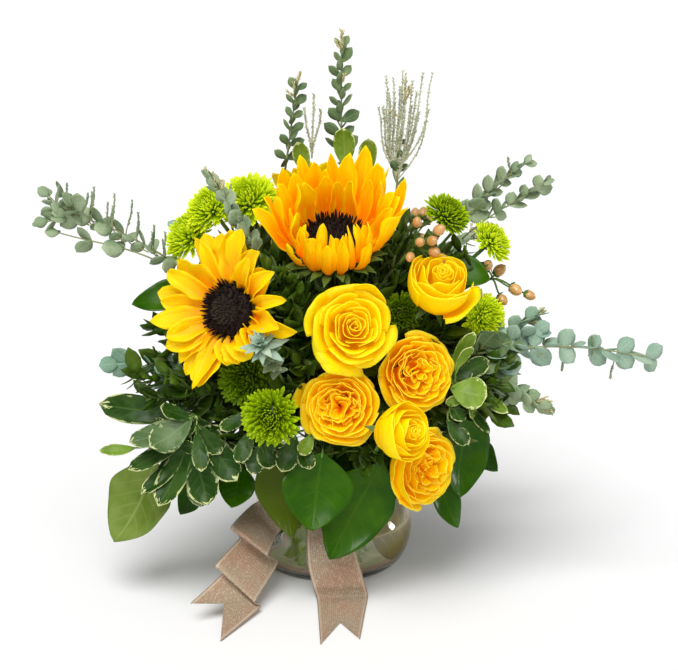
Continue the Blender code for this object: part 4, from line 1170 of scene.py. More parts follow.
def build_ribbon():
    """Band with its knot round the neck, and the two tails."""
    heap = Heap()
    low, waist, high = BAND_INNER
    shares = np.linspace(0, 1, 9)
    inner = [(np.interp(share, (0, 0.75, 1), (low[0], waist[0], high[0])),
        low[1] + (high[1] - low[1]) * share) for share in shares]
    outer = [(radius + BAND_THICK * (0.8 + 0.2 * math.sin(7 * i)), height)
        for i, (radius, height) in enumerate(inner)]
    heap.add(*lathe(inner[::-1] + outer, BOWL_STEPS), 0.5)
    turn = np.linspace(0, TURN, 25)[:-1]
    for index, (tilt, size) in enumerate(((0.0, 1.0), (0.5, 0.86), (-0.45, 0.9))):
        loop = np.stack([np.sin(tilt) * np.sin(turn) * KNOT_SIZE[2] * size,
            -np.cos(turn) * KNOT_SIZE[1] * 0.7 * size,
            np.sin(turn) * KNOT_SIZE[2] * 0.8 * size], -1)
        loop = np.concatenate([loop, loop[:1]])
        grid = np.stack([loop + (width, 0, 0) for width in np.linspace(-7, 7, 9) * size], 1)
        grid += np.array(KNOT, float) + ((index - 1) * 2.0, 0, 0)
        heap.add(*sheet(grid, 0.9), 0.5)
    place_piece(heap.mesh(WEAVE), "band_of_ribbon", "woven_ribbon", "ribbon_band")
    for side, rows, notch in (("left", LEFT_TAIL, LEFT_NOTCH), ("right", RIGHT_TAIL, RIGHT_NOTCH)):
        heap = Heap()
        grid = ribbon_grid(rows, notch)
        heap.add(*sheet(grid, TAIL_THICK), 0.5)
        for column in (0, -1):
            add_tube(heap, grid[:, column], TAIL_THICK, 6)
        place_piece(heap.mesh(WEAVE), "tail_" + side, "woven_ribbon", "ribbon_tail_" + side)


# ---- sunflowers

SPIKE = source_shape("spike", petal(5.2, 1.3, (4, 0, -6), 5, 3, 0.4, 0.8, 0.8, 1.1), 0.5)
DOT = source_shape("dot", petal(2.6, 1.3, (0, 0, 0), 4, 3, 0.5, 0.8, 0.8, 1.1), 0.5)


def add_disc(flower, centre, axis, radius, middle):
    """Seed disc: a dark core, spiky florets round it and flatter ones in the middle."""
    outer = grown(GOLDEN_HEAD, Floret=SPIKE, Count=300, Hollow=0.3, Radius=radius * METRES,
        Dome=DISC_HEIGHT * METRES, Inner_Lean=-0.5, Outer_Lean=0.75, Lean_Rise=2.0,
        Inner_Size=0.8, Outer_Size=1.1, Looseness=0.22, Seed=3, Finish=DISC_DARK)
    inner = grown(GOLDEN_HEAD, Floret=DOT, Count=190, Radius=radius * 0.56 * METRES,
        Dome=DISC_HEIGHT * 0.35 * METRES, Inner_Lean=0.0, Outer_Lean=0.2,
        Inner_Size=0.75, Outer_Size=1.0, Looseness=0.2, Seed=5, Finish=middle)
    inner.transform(Matrix.Translation((0, 0, DISC_HEIGHT * 0.68 * METRES)))
    profile = [(0, -1.5)] + [(radius * 0.96 * math.cos(angle), DISC_HEIGHT * math.sin(angle) - 0.5)
        for angle in np.linspace(0, math.pi / 2, 9)]
    mesh = joined([turned_mesh(profile, 40, 0.2, DISC_DARK), outer, inner])
    place_piece(moved(mesh, centre, axis), flower + "_seeds", "sunflower_disc", flower + "_disc")


def rings_of(counts, shift, sway, rng):
    """Number of the ring and angle of every petal, each ring turned by a shift of its gap."""
    for ring, count in enumerate(counts):
        for index in range(count):
            yield ring, TURN * (index + ring * shift) / count + rng.uniform(-sway, sway)


def add_bracts(heap, centre, axis, disc, lean, rng, out):
    """Pointed green bracts behind the petals."""
    for ring, angle in rings_of((13, 13), 0.5, 0.1, rng):
        leans = lean + ring * 12 + rng.uniform(-8, 8) + np.array((0, 4, 20))
        grid = petal(rng.uniform(19, 26), 8, leans, 9, 5, 0.3, 0.7, 1.1, 0.4, 0, 0.1, 0,
            rng.uniform(0, 6))
        grid = turned_grid(grid + (disc * out, 0, -6 - ring * 2 - (out - 0.82) * 14), angle)
        heap.add(*sheet(seated(grid, centre, axis), 0.7), rng.random(), 1)


def add_ray(heap, seat, angle, ring, size, width, leans, cup, twist, rng):
    """Add one sunflower petal; seat is the flower's centre, axis, foot radius and depth."""
    centre, axis, radius, depth = seat
    grid = petal(size, width, leans, 15, 9, rng.uniform(0.42, 0.62), 0.5, rng.uniform(0.32, 0.7),
        cup, 0.05, rng.uniform(0.08, 0.26), twist, rng.uniform(0, 6))
    grid = turned_grid(grid + (radius + ring * 0.8, 0, -depth - ring * 2), angle)
    heap.add(*sheet(seated(grid, centre, axis), 0.5), rng.random())


def close_sunflower(flower, heap, material, seat, bracts, core, middle, rng):
    """Add the green back and place the petals and the seed disc.

    seat is the centre, the axis and the disc's radius, bracts the lean of the bracts and how
    far out they stand, and core the radius and finish of the seed disc's middle.
    """
    centre, axis, disc = seat
    add_bracts(heap, centre, axis, disc, bracts[0], rng, bracts[1])
    profile = [(0, 0), (disc * 0.9, 0), (disc * 0.98, -2), (disc * 0.9, -6), (disc * 0.55, -11),
        (6, -15), (3.2, -20), (0, -20)]
    points, faces, places = lathe(profile, 28)
    heap.add(seated(points, centre, axis), faces[:, ::-1], places, 0.5, 1)
    place_piece(heap.mesh(material, CALYX), flower + "_rays", "sunflower_petal", flower + "_petals")
    add_disc(flower, centre, axis, core, middle)


def build_sunflower_top():
    """Upright sunflower whose shaggy petals stand as a deep cup round a dark disc."""
    _, turn, rise, disc, length = SUNFLOWERS["sunflower_top"]
    axis = heading(turn, rise)
    rng = np.random.default_rng(21)
    vary = rng.uniform
    heap = Heap()
    for ring, angle in rings_of((17, 17, 15), 0.43, 0.1, rng):
        reach, opened = ((0.78, -5), (0.96, 2), (1.05, 10))[ring]
        right, forward = math.cos(angle), -math.sin(angle)
        lean = 14 + opened + vary(-6, 6)
        size = length * reach * vary(0.88, 1.12) * (1.14 if forward < -0.3 else 1.0)
        width, cup = vary(14, 25), vary(0.3, 1.3)
        if forward > 0.35:
            lean = -5 + opened * 0.4 + vary(-4, 4)
            size, width = length * vary(0.64, 0.88), vary(11, 18)
            cup = vary(0.7, 1.5)
        elif right > 0.7:
            lean += 8
        if ring == 2 and rng.random() < 0.12:
            lean += 22
        tip = lean - 12 + vary(-36, 34)
        add_ray(heap, (CUP_CENTRE, axis, disc + 3, 6), angle, ring, size, width,
            (lean + 44, lean, lean - 8 + vary(-14, 14), tip), cup, vary(-1.2, 1.2), rng)
    close_sunflower("sunflower_top", heap, LIT_CUP_PETAL, (CUP_CENTRE, axis, disc), (52, 1.12),
        disc + 2, DISC_DARK, rng)


def build_sunflower_left():
    """Open sunflower that faces the front left, its right petals rolled over."""
    centre, turn, rise, disc, length = SUNFLOWERS["sunflower_left"]
    axis = heading(turn, rise)
    rng = np.random.default_rng(11)
    vary = rng.uniform
    heap = Heap()
    for ring, angle in rings_of((11, 11, 10), 0.5, 0.16, rng):
        right, up = math.cos(angle), math.sin(angle)
        lean = 80 + ring * 5 + vary(-12, 6)
        size = length * vary(0.84, 1.18)
        cup, twist = vary(0.25, 1.1), vary(-0.7, 0.7)
        tip = lean + vary(-34, 20)
        if right > 0.15 and up < -0.3:
            size *= 0.62
        elif right > 0.9:
            size *= 1.25
        if right > 0.35:
            size *= 0.92
            cup, twist = vary(0.8, 1.7), vary(-1.1, 1.1)
            lean, tip = 56 + vary(-14, 14), 95 + vary(-30, 40)
        elif up < -0.45:
            cup = vary(0.6, 1.2)
            lean, tip = 66 + vary(-8, 10), 64 + vary(-18, 18)
        add_ray(heap, (centre, axis, disc - 1.5, 1), angle, ring, size, vary(17, 30),
            (lean - 8, lean, tip), cup, twist, rng)
    close_sunflower("sunflower_left", heap, SHADED_SUN_PETAL, (centre, axis, disc), (80, 0.82),
        disc - 1, DISC_GREY, rng)


def build_sunflower_back():
    """Half open sunflower at the back."""
    centre, turn, rise, disc, length = SUNFLOWERS["sunflower_back"]
    axis = heading(turn, rise)
    rng = np.random.default_rng(31)
    vary = rng.uniform
    heap = Heap()
    for ring, angle in rings_of((13, 13, 10), 0.5, 0.1, rng):
        lean = 66 + ring * 7 + vary(-8, 8)
        add_ray(heap, (centre, axis, disc - 1.5, 1), angle, ring, length * vary(0.92, 1.1),
            vary(19, 25), (lean, lean - 4, lean + vary(-15, 25)),
            vary(0.3, 0.9), vary(-0.4, 0.4), rng)
    close_sunflower("sunflower_back", heap, SHADED_SUN_PETAL, (centre, axis, disc), (66, 0.82),
        disc - 2, DISC_GREY, rng)


# ---- roses

def cup_petal(turn, span, rim, height, neck=0.9, hug=0.9, curl=0.0, dip=0.15, point=0.0,
        swirl=0.0, wave=0.02, phase=0.0, offset=(0.0, 0.0), base=-0.8, rows=13, columns=17):
    """Grid and tones of one rose petal, in units of the flower's radius.

    The petal stands round the axis at its turn and reaches span to each side. rim and
    height are the place of its upper edge, hug and neck how wide it is just over its
    foot and just under its edge, and curl how far the edge is rolled out and down.
    """
    s = np.linspace(-1, 1, columns)[None, :]
    t = np.linspace(0, 1, rows)[:, None]
    ends = 1 - dip * np.abs(s) ** 2.4 + point * (1 - np.abs(s)) ** 2
    u = t * ends
    corners = ((0.06, base), (rim * hug, base + 0.16), (rim * neck, height - 0.16), (rim, height))
    weights = ((1 - u) ** 3, 3 * u * (1 - u) ** 2, 3 * u * u * (1 - u), u ** 3)
    radius = sum(w * c[0] for w, c in zip(weights, corners))
    level = sum(w * c[1] for w, c in zip(weights, corners))
    rolled = np.clip((t - 0.68) / 0.32, 0, 1) ** 1.8 * (0.55 + 0.45 * np.abs(s))
    radius = radius + rolled * curl * 0.45
    level = level - rolled * curl * 0.75
    radius = radius * (1 + swirl * s)
    wide = 0.3 + 0.7 * np.sin(np.pi / 2 * np.clip(t / 0.65, 0, 1))
    angle = turn + s * span * wide
    ripple = np.sin(s * 4.2 + phase) + 0.5 * np.sin(s * 9 + phase * 1.7)
    level = level + wave * ripple * t ** 4
    radius = radius + wave * np.cos(s * 5 + phase * 1.3) * t ** 2
    grid = np.stack([radius * np.cos(angle) + offset[0], radius * np.sin(angle) + offset[1],
        np.broadcast_to(level, radius.shape)], -1)
    # The tone rises from the petal's foot to its rim; the rose finish paints shade low down and a highlight
    # at the rim by it.
    tones = np.clip(t + 0 * s, 0, 1)
    return grid[:, ::-1], tones[:, ::-1]


def add_rose_petal(heap, shape, radius, centre, axis):
    """Add a rose petal, scaled to the flower's radius, to a heap."""
    grid, tones = shape
    points, faces, places = sheet(grid * radius, 0.38)
    heap.add(seated(points, centre, axis), faces, places, np.tile(tones.ravel(), 2))


def add_rose_calyx(heap, radius, centre, axis, rng):
    """Green hip and five sepals under a rose."""
    base = -0.8 * radius
    profile = [(0, base + 3), (radius * 0.16, base + 2.5), (radius * 0.2, base - 1),
        (radius * 0.13, base - 6), (2.4, base - 9), (0, base - 9)]
    points, faces, places = lathe(profile, 16)
    heap.add(seated(points, centre, axis), faces[:, ::-1], places, 0.5, 1)
    for index in range(5):
        lean = rng.uniform(70, 120)
        grid = petal(radius * 0.62, 7, (lean, lean + 15, lean + 30), 9, 5, 0.25, 0.7, 1.2, 0.5, 0, 0.1)
        grid = turned_grid(grid + (radius * 0.15, 0, base), TURN * index / 5)
        heap.add(*sheet(seated(grid, centre, axis), 0.6), rng.random(), 1)


def add_heart(petals, rng, count, reach, top):
    """Tightly wound heart: petals in the golden angle that hug each other."""
    for index in range(count):
        share = (index + 0.5) / count
        rim = 0.045 + (reach - 0.045) * share ** 1.15
        height = top - 0.1 * share ** 2 + rng.uniform(-0.02, 0.02)
        petals.append(cup_petal(
            index * GOLDEN, 1.9 - 0.85 * share + rng.uniform(-0.1, 0.1), rim, height,
            1.02 - 0.1 * share, 1.0, 0.02 + 0.05 * share, 0.06 + 0.08 * share, 0.0, 0.1,
            0.015 + 0.015 * share, rng.uniform(0, 6), base=-0.5))


def add_guard_petals(petals, rng, count, inner, outer, top, low, curl, first_turn, span):
    """Broad petals round the heart, lower and more rolled back the further out."""
    vary = rng.uniform
    for index in range(count):
        share = index / max(count - 1, 1)
        rim = inner + (outer - inner) * share
        height = top + (low - top) * share ** 1.2 + vary(-0.025, 0.025)
        petals.append(cup_petal(first_turn + index * GOLDEN, span * vary(0.9, 1.15), rim, height,
            0.86 - 0.08 * share, 0.92, curl[0] + (curl[1] - curl[0]) * share,
            vary(0.14, 0.26), vary(0.0, 0.07), 0.05 + vary(-0.03, 0.03),
            vary(0.015, 0.04), vary(0, 6)))


def add_ruffles(petals, rng, count, reach, top):
    """Crowded folded petals that fill a garden rose, each turned its own way."""
    vary = rng.uniform
    for index in range(count):
        share = (index + 0.5) / count
        turn = index * GOLDEN
        out = reach * share ** 0.5
        size = vary(0.12, 0.26)
        way = turn + rng.normal() * 0.7
        offset = ((out - size * 0.6) * math.cos(turn), (out - size * 0.6) * math.sin(turn))
        petals.append(cup_petal(way, vary(0.8, 1.5), size, top + vary(-0.12, 0.06) - 0.08 * share,
            vary(0.6, 0.95), 0.6, vary(0.0, 0.12), vary(0.08, 0.25), 0.03,
            vary(-0.3, 0.3), vary(0.02, 0.05), vary(0, 6), offset, base=-0.35, rows=11, columns=13))


def spiral_rose(rng, openness):
    """Petals of a rose with a pointed spiral heart."""
    petals = []
    add_heart(petals, rng, 11, 0.36 + 0.06 * openness, 0.38)
    add_guard_petals(petals, rng, 8, 0.43, 0.7, 0.35, 0.24, (0.05, 0.15), 1.0, 0.95)
    add_guard_petals(petals, rng, 7, 0.74, 0.8 + 0.18 * openness, 0.22, 0.24 - 0.22 * openness,
        (0.18, 0.34), 2.2, 0.78)
    return petals


def bud_rose(rng, openness):
    """Petals of a half closed rose: a tall belly drawn in round its heart."""
    vary = rng.uniform
    petals = []
    add_heart(petals, rng, 9, 0.3, 0.66)
    for index in range(11):
        share = index / 10
        petals.append(cup_petal(
            index * GOLDEN, 1.15 - 0.25 * share, 0.36 + (0.34 + 0.2 * openness) * share,
            0.66 - 0.22 * share + vary(-0.04, 0.04), 1.12 - 0.05 * share, 1.4 - 0.2 * share,
            0.03 + 0.16 * share * openness, vary(0.12, 0.26), vary(0.0, 0.08),
            vary(0.0, 0.08), vary(0.015, 0.03), vary(0, 6), base=-1.0))
    return petals


def garden_rose(rng, openness):
    """Petals of a cupped rose filled with ruffled petals."""
    vary = rng.uniform
    petals = [cup_petal(2.1 * index, 1.5, 0.3, -0.12, 1.0, 1.0, 0.05, 0.2, base=-0.5)
        for index in range(3)]
    add_ruffles(petals, rng, 24, 0.56, 0.24)
    for index in range(20):
        share = index / 19
        petals.append(cup_petal(
            index * GOLDEN, vary(0.5, 0.85), 0.5 + 0.4 * share + vary(-0.03, 0.03),
            0.27 - 0.15 * share ** 1.5 + vary(-0.05, 0.05), vary(0.84, 0.96), 0.9,
            0.03 + 0.1 * share, vary(0.1, 0.3), 0.03, vary(-0.1, 0.14),
            vary(0.015, 0.035), vary(0, 6), columns=13))
    add_guard_petals(petals, rng, 7, 0.9, 1.0, 0.1, 0.06 - 0.12 * openness, (0.12, 0.24), 1.7, 0.62)
    return petals


# Petals placed one by one: turn, span, rim, height, neck, hug, curl, dip, point.
LOOSE_PETALS = {
    "upper": ((1.05, 0.5, 0.98, 0.34, 0.95, 1.0, 0.02, 0.35, 0.1),
        (2.75, 0.55, 1.05, 0.16, 0.85, 0.9, 0.2, 0.15, 0.1),
        (4.15, 0.5, 1.05, 0.0, 0.8, 0.9, 0.22, 0.15, 0.12)),
    "side": ((4.3, 1.2, 0.8, 0.42, 1.08, 1.2, 0.02, 0.1, 0.0),
        (5.5, 0.8, 1.05, 0.02, 0.95, 1.0, 0.3, 0.12, 0.05),
        (2.9, 0.9, 0.84, 0.42, 1.06, 1.15, 0.04, 0.1, 0.12)),
    "bud": ((3.1, 0.85, 0.98, 0.5, 1.02, 1.1, 0.0, 0.12, 0.04),
        (1.7, 0.7, 0.96, 0.4, 0.98, 1.05, 0.08, 0.12, 0.05),
        (4.6, 0.6, 0.96, 0.25, 0.98, 1.05, 0.06, 0.12, 0.05)),
    "lower_left": ((2.9, 0.3, 1.22, -0.05, 0.8, 0.9, 0.1, 0.2, 0.0),),
    "low": ((3.3, 0.8, 1.05, 0.36, 0.95, 1.0, 0.02, 0.2, 0.1),
        (2.7, 0.6, 1.12, 0.16, 0.9, 0.95, 0.1, 0.2, 0.1),
        (4.2, 0.5, 1.1, 0.0, 0.9, 0.95, 0.1, 0.2, 0.1)),
}
# Way the petals of a rose open, where it is not the way the whole flower faces.
ROSE_WAYS = {"side": (14, 50), "bud": (46, 16), "low": (38, 4)}


def build_roses():
    """All roses, each with its calyx."""
    plans = {"upper": (spiral_rose, 1.0, ROSE_LEMON), "side": (bud_rose, 0.3, ROSE_LEMON),
        "middle": (garden_rose, 1.0, ROSE_GOLD), "lower_left": (garden_rose, 0.8, ROSE_GOLD),
        "bud": (bud_rose, 0.9, ROSE_LEMON), "low": (garden_rose, 0.9, ROSE_GOLD),
        "back_right": (spiral_rose, 0.8, ROSE_LEMON), "back_left": (garden_rose, 0.9, ROSE_GOLD)}
    for seed, (name, (plan, openness, material)) in enumerate(plans.items(), 1):
        centre, turn, rise, radius = ROSES[name]
        axis = heading(*ROSE_WAYS.get(name, (turn, rise)))
        rng = np.random.default_rng(seed)
        heap = Heap()
        shapes = plan(rng, openness)
        for loose in LOOSE_PETALS.get(name, ()):
            shapes.append(cup_petal(*loose, 0.03, 0.02, rng.uniform(0, 6)))
        if name == "side":
            radius, centre = radius * 1.12, np.array(centre) + (0, 0, 2)
        for shape in shapes:
            add_rose_petal(heap, shape, radius, centre, axis)
        add_rose_calyx(heap, radius, centre, axis, rng)
        place_piece(heap.mesh(material, CALYX), f"rose_{name}_petals", "rose_petal", "rose_" + name)


# ---- chrysanthemums and berries

# Chrysanthemums a fifth wider than their solids, and those that sit in shade, whose florets are painted
# darker as painted shade.
FULL_MUMS = ("top", "top_left", "left")
SHADED_MUMS = {"deep": LIME_IN_SHADE, "front_deep": LIME_IN_SHADE, "front": LIME_HALF_IN_SHADE, "right_top": LIME_HALF_IN_SHADE}


def build_mums():
    """Button chrysanthemums of narrow florets in the golden angle."""
    floret = source_shape("floret", petal(11, 2.9, (8, 0, -14, -40), 7, 3, 0.7, 0.45, 0.45, 0.9), 0.45)
    for number, (name, (centre, turn, rise, radius)) in enumerate(MUMS.items()):
        radius *= 1.2 if name in FULL_MUMS else 1.0
        size = radius / 21
        head = grown(GOLDEN_HEAD, Floret=floret, Count=300, Radius=radius * 0.6 * METRES,
            Dome=radius * 0.4 * METRES, Inner_Lean=0.05, Outer_Lean=1.8, Lean_Rise=1.6,
            Inner_Size=0.5 * size, Outer_Size=1.15 * size, Looseness=0.16, Seed=number,
            Finish=SHADED_MUMS.get(name, LIME))
        profile = np.array(((0, -0.42), (0.24, -0.38), (0.5, -0.1), (0.46, 0.1), (0.2, 0.26), (0, 0.3)))
        mesh = joined([turned_mesh(profile * radius, 18, 0.3, CALYX), head])
        mesh = moved(mesh, centre, heading(turn, rise))
        place_piece(mesh, f"mum_{name}_florets", "mum_lime", "mum_" + name)


def add_berry(heap, spot, way, size, rng):
    """Oval berry on its sepals; way points to its tip."""
    profile = []
    for angle in np.radians(np.linspace(-90, 90, 11)):
        radius = size * math.cos(angle) * (1 - 0.1 * math.sin(angle))
        profile.append((max(radius, 0), size * 1.28 * math.sin(angle) + (0.5 if angle > 1.5 else 0)))
    points, faces, places = lathe(profile[::-1], 14)
    heap.add(seated(points, spot, way), faces, places, rng.random())
    for index in range(5):
        lean = rng.uniform(35, 70)
        grid = petal(size * 1.1, size * 0.9, (lean + 30, lean, lean - 20), 5, 3, 0.35, 0.7, 1.0, 0.5)
        grid = turned_grid(grid + (size * 0.2, 0, -size * 1.35), TURN * index / 5)
        heap.add(*sheet(seated(grid, spot, way), 0.35), rng.random(), 1)


# Berries that are placed one by one; the others stand round the middle of their cluster.
BERRY_SPOTS = {
    "berries_right": ((92, -78, 326), (86, -84, 318), (88, -82, 308), (76, -80, 316),
        (68, -76, 302), (95, -74, 300), (96, -76, 290), (74, -66, 330)),
    "berries_far_right": ((138, -26, 284), (163, -26, 262), (176, -22, 256), (152, -22, 252),
        (150, -10, 276)),
}


def build_berries():
    """Clusters of peach berries on branched green stalks."""
    rng = np.random.default_rng(71)
    for name, (foot, middle, radius) in BERRIES.items():
        heap = Heap()
        foot, middle, run = line(foot, middle)
        places = BERRY_SPOTS.get(name)
        if places is None:
            way = rng.normal(size=(9, 3))
            places = middle + way / np.linalg.norm(way, axis=1, keepdims=True) * radius * 0.8
        fork = foot + (middle - foot) * 0.35
        add_tube(heap, [foot, fork], 1.2, 6, 0.5, 1)
        for spot in np.array(places, float):
            out = unit(spot - fork)
            add_tube(heap, bent(fork, run, spot - out * 6, out, 5), (1.0, 0.8), 6, 0.5, 1)
            add_berry(heap, spot, out + rng.normal(size=3) * 0.15,
                BERRY_RADIUS * rng.uniform(0.78, 0.98), rng)
        place_piece(heap.mesh(BERRY, CALYX), name + "_fruit", "berry_peach", name)


# ---- greenery

# Length of the gum leaf that the sprays repeat, at size 1.
GUM_LENGTH = 20


def build_eucalyptus():
    """Sprays of paired round leaves with bud twigs at their ends and sides."""
    leaf = source_shape("gum_leaf", petal(GUM_LENGTH, 17, (8, 0, -14), 7, 5, 0.5, 0.16, 0.55, 0.35), 0.35)
    slim = source_shape("slim_gum_leaf", petal(GUM_LENGTH, 12.5, (10, 0, -18), 7, 5, 0.6, 0.16, 0.6, 0.35),
        0.35)
    bud = source_shape("bud", petal(4.2, 1.9, (10, 0, -20), 4, 3, 0.6, 0.5, 0.6, 0.8), 0.6)
    rng = np.random.default_rng(5)
    for number, (name, spray) in enumerate(EUCALYPTUS.items()):
        foot, tip, way = line(*spray[:2])
        colour, pairs, first, last, lean, tip_lean, twist, bare = spray[2:]
        sag = np.array((0, 0, -1 if abs(way[2]) < 0.8 else 0)) * 0.18
        end = tip - way * (6 if bare else last * 0.6)
        path = bent(foot, unit(way - sag), end, unit(way + sag), 14)
        parts = [grown(LEAFY_SPRAY, [path], Leaf=slim if name.startswith("top") else leaf,
            Joints=pairs, Bare_Foot=0.06, Bare_Tip=bare, Lean=lean, Tip_Lean=tip_lean,
            Twist=twist, Foot_Size=first / GUM_LENGTH, Tip_Size=last / GUM_LENGTH,
            Looseness=0.22, Foot_Radius=0.0011, Tip_Radius=0.0006, Seed=number,
            Leaf_Finish=GUMS[colour], Stalk_Finish=GUM_STALK)]
        if bare:
            ends = [path[-4:]]
            for _ in range(4):
                spot = path[rng.integers(8, 14)]
                out = unit(way + rng.normal(size=3) * 0.45)
                ends.append(bent(spot, way, spot + out * rng.uniform(9, 15), out, 5))
            parts.append(grown(
                LEAFY_SPRAY, ends, Leaf=bud, Joints=5, Bare_Foot=0.3, Lean=0.5, Tip_Lean=0.3,
                Foot_Size=0.8, Tip_Size=1.0, Looseness=0.25, Tip_Radius=0.0004,
                Seed=number + 40, Leaf_Finish=BEIGE_BUD, Stalk_Finish=GUM_STALK))
        for start, end, sprig_pairs, size in SIDE_SPRIGS.get(name, ()):
            start, end, out = line(start, end)
            parts.append(grown(
                LEAFY_SPRAY, [bent(start, way, end, out, 10)], Leaf=leaf, Joints=sprig_pairs,
                Bare_Foot=0.35, Lean=0.8, Tip_Lean=0.5, Twist=0.9, Foot_Size=size / 20,
                Tip_Size=size / 24, Looseness=0.3, Foot_Radius=0.0008, Tip_Radius=0.0006,
                Seed=number + 60 + int(end[0]), Leaf_Finish=GUMS[colour], Stalk_Finish=GUM_STALK))
        if name == "right":
            heap = Heap()
            for spot, width in LARGE_GUM:
                start, spot, out = line(foot + rng.uniform(-4, 4, 3), spot)
                add_tube(heap, [start, start + out * 12], 0.9, 5, 0.5, 1)
                add_leaf(heap, start + out * 10, spot, width, heading(25, 30), (16, 2, -16),
                    (0.45, 0.1, 0.6), rng, rng.random(), 0, 9)
            parts.append(heap.mesh(GUMS["dark"], GUM_STALK))
        node = "eucalyptus_" + name
        place_piece(joined(parts), node + "_spray", "eucalyptus_leaf", node)
    build_tuft()


def build_tuft():
    """Pale whorl of pointed leaves at the end of a eucalyptus shoot."""
    foot, tip, way = line(*TUFT)
    rng = np.random.default_rng(8)
    heap = Heap()
    tip = tip + (-5, -7, 5)
    add_tube(heap, bent(foot, way, tip - way * 6, way, 5), (1.3, 0.9), 6, 0.5, 1)
    for index in range(26):
        spot = foot + (tip - foot) * (0.06 + 0.7 * index / 25)
        grid = turned_grid(petal(13, 6.5, (50, 62, 80), 7, 5, 0.5, 0.2, 0.8, 0.4), index * GOLDEN)
        heap.add(*sheet(seated(grid * rng.uniform(0.7, 1.2), spot, way), 0.4), rng.random(), 2)
    for index in range(30):
        share = index / 29
        lean = 12 + 78 * share + rng.uniform(-16, 16)
        size = (9 + 11.5 * share) * rng.uniform(0.75, 1.2)
        grid = petal(size, size * 0.36, (lean - 15, lean, lean + 12), 7, 5, 0.42, 0.3, 0.9, 0.5)
        grid = turned_grid(grid, index * GOLDEN)
        heap.add(*sheet(seated(grid, tip - way * (3 + 12 * share), way), 0.45), rng.random())
    place_piece(heap.mesh(GUM_FROST, GUM_STALK, GUMS["grey"]), "eucalyptus_tuft_whorl",
        "eucalyptus_leaf", "eucalyptus_tuft")


# Fine bud twigs that stand on a eucalyptus spray.
BUD_TWIGS = {"far_left": 14, "right": 6, "mid_left": 2, "back_left": 6, "right_top": 4}


def build_plume():
    """Fine beige plume and thin bud twigs among the eucalyptus."""
    rng = np.random.default_rng(14)
    vary = rng.uniform
    bead = source_shape("bead", petal(2.6, 1.7, (25, 0, -20), 4, 3, 0.5, 0.6, 0.5, 0.9), 0.7)
    foot, tip, _ = line(*EUCALYPTUS["top_right"][:2])
    fork = foot + (tip - foot) * 0.12
    paths = []
    for index in range(23):
        aside = -19 + 40 * (index % 9) / 8 + vary(-2.4, 2.4)
        reach = vary(0.6, 0.95) if index % 4 else vary(0.93, 1.0)
        end = fork + (tip - fork) * reach + (aside, vary(-9, 9), 0)
        end[2] = min(end[2], tip[2])
        start = fork + (0, 0, vary(-8, 8))
        paths.append(bent(start, (aside / 26, 0, 1), end, (aside / 90, 0, 1), 9))
    for end in ((-14, 10, 428), (-22, 8, 416), (-8, 14, 414)):
        paths.append(bent((-16, 12, 372), (0, 0, 1), end, (0, 0, 1), 9))
    plume = grown(LEAFY_SPRAY, paths, Leaf=bead, Joints=26, Bare_Foot=0.12, Lean=0.75,
        Tip_Lean=0.6, Turn=1.2, Foot_Size=0.8, Tip_Size=0.9, Looseness=0.3,
        Foot_Radius=0.0007, Seed=3, Leaf_Finish=PLUME_BUD, Stalk_Finish=PLUME_BUD)
    place_piece(plume, "eucalyptus_plume", "eucalyptus_leaf")
    twigs = []
    for name, count in BUD_TWIGS.items():
        foot, tip, out = line(*EUCALYPTUS[name][:2])
        for index in range(count):
            spot = foot + (tip - foot) * (0.05 + 0.8 * (index + vary(0, 0.6)) / count)
            lift = 1 if name != "right" else (-1) ** index
            size = vary(20, 42) if name == "far_left" else vary(10, 20)
            end = spot + (vary(-9, 6), vary(-10, 6), lift * size)
            twigs.append(bent(spot, out, end, (0, 0, lift), 8, 0.5))
    fine = grown(LEAFY_SPRAY, twigs, Leaf=bead, Joints=9, Bare_Foot=0.55, Lean=0.45,
        Tip_Lean=0.3, Turn=1.5, Foot_Size=0.9, Tip_Size=1.0, Looseness=0.2,
        Seed=4, Leaf_Finish=GUMS["grey"], Stalk_Finish=GUM_STALK)
    place_piece(fine, "eucalyptus_bud_twigs", "eucalyptus_leaf")


def outwards(foot):
    """Way out from the middle of the bowl through a foot, rising by half."""
    return np.array((foot[0], foot[1], 0)) / math.hypot(foot[0], foot[1]) + (0, 0, 0.5)


# Broad leaves: lean from foot to tip, then where they are widest, their foot and point.
BROAD_LEANS = (26, 6, -12, -34)
BROAD_SHAPE = (0.42, 0.05, 0.72)


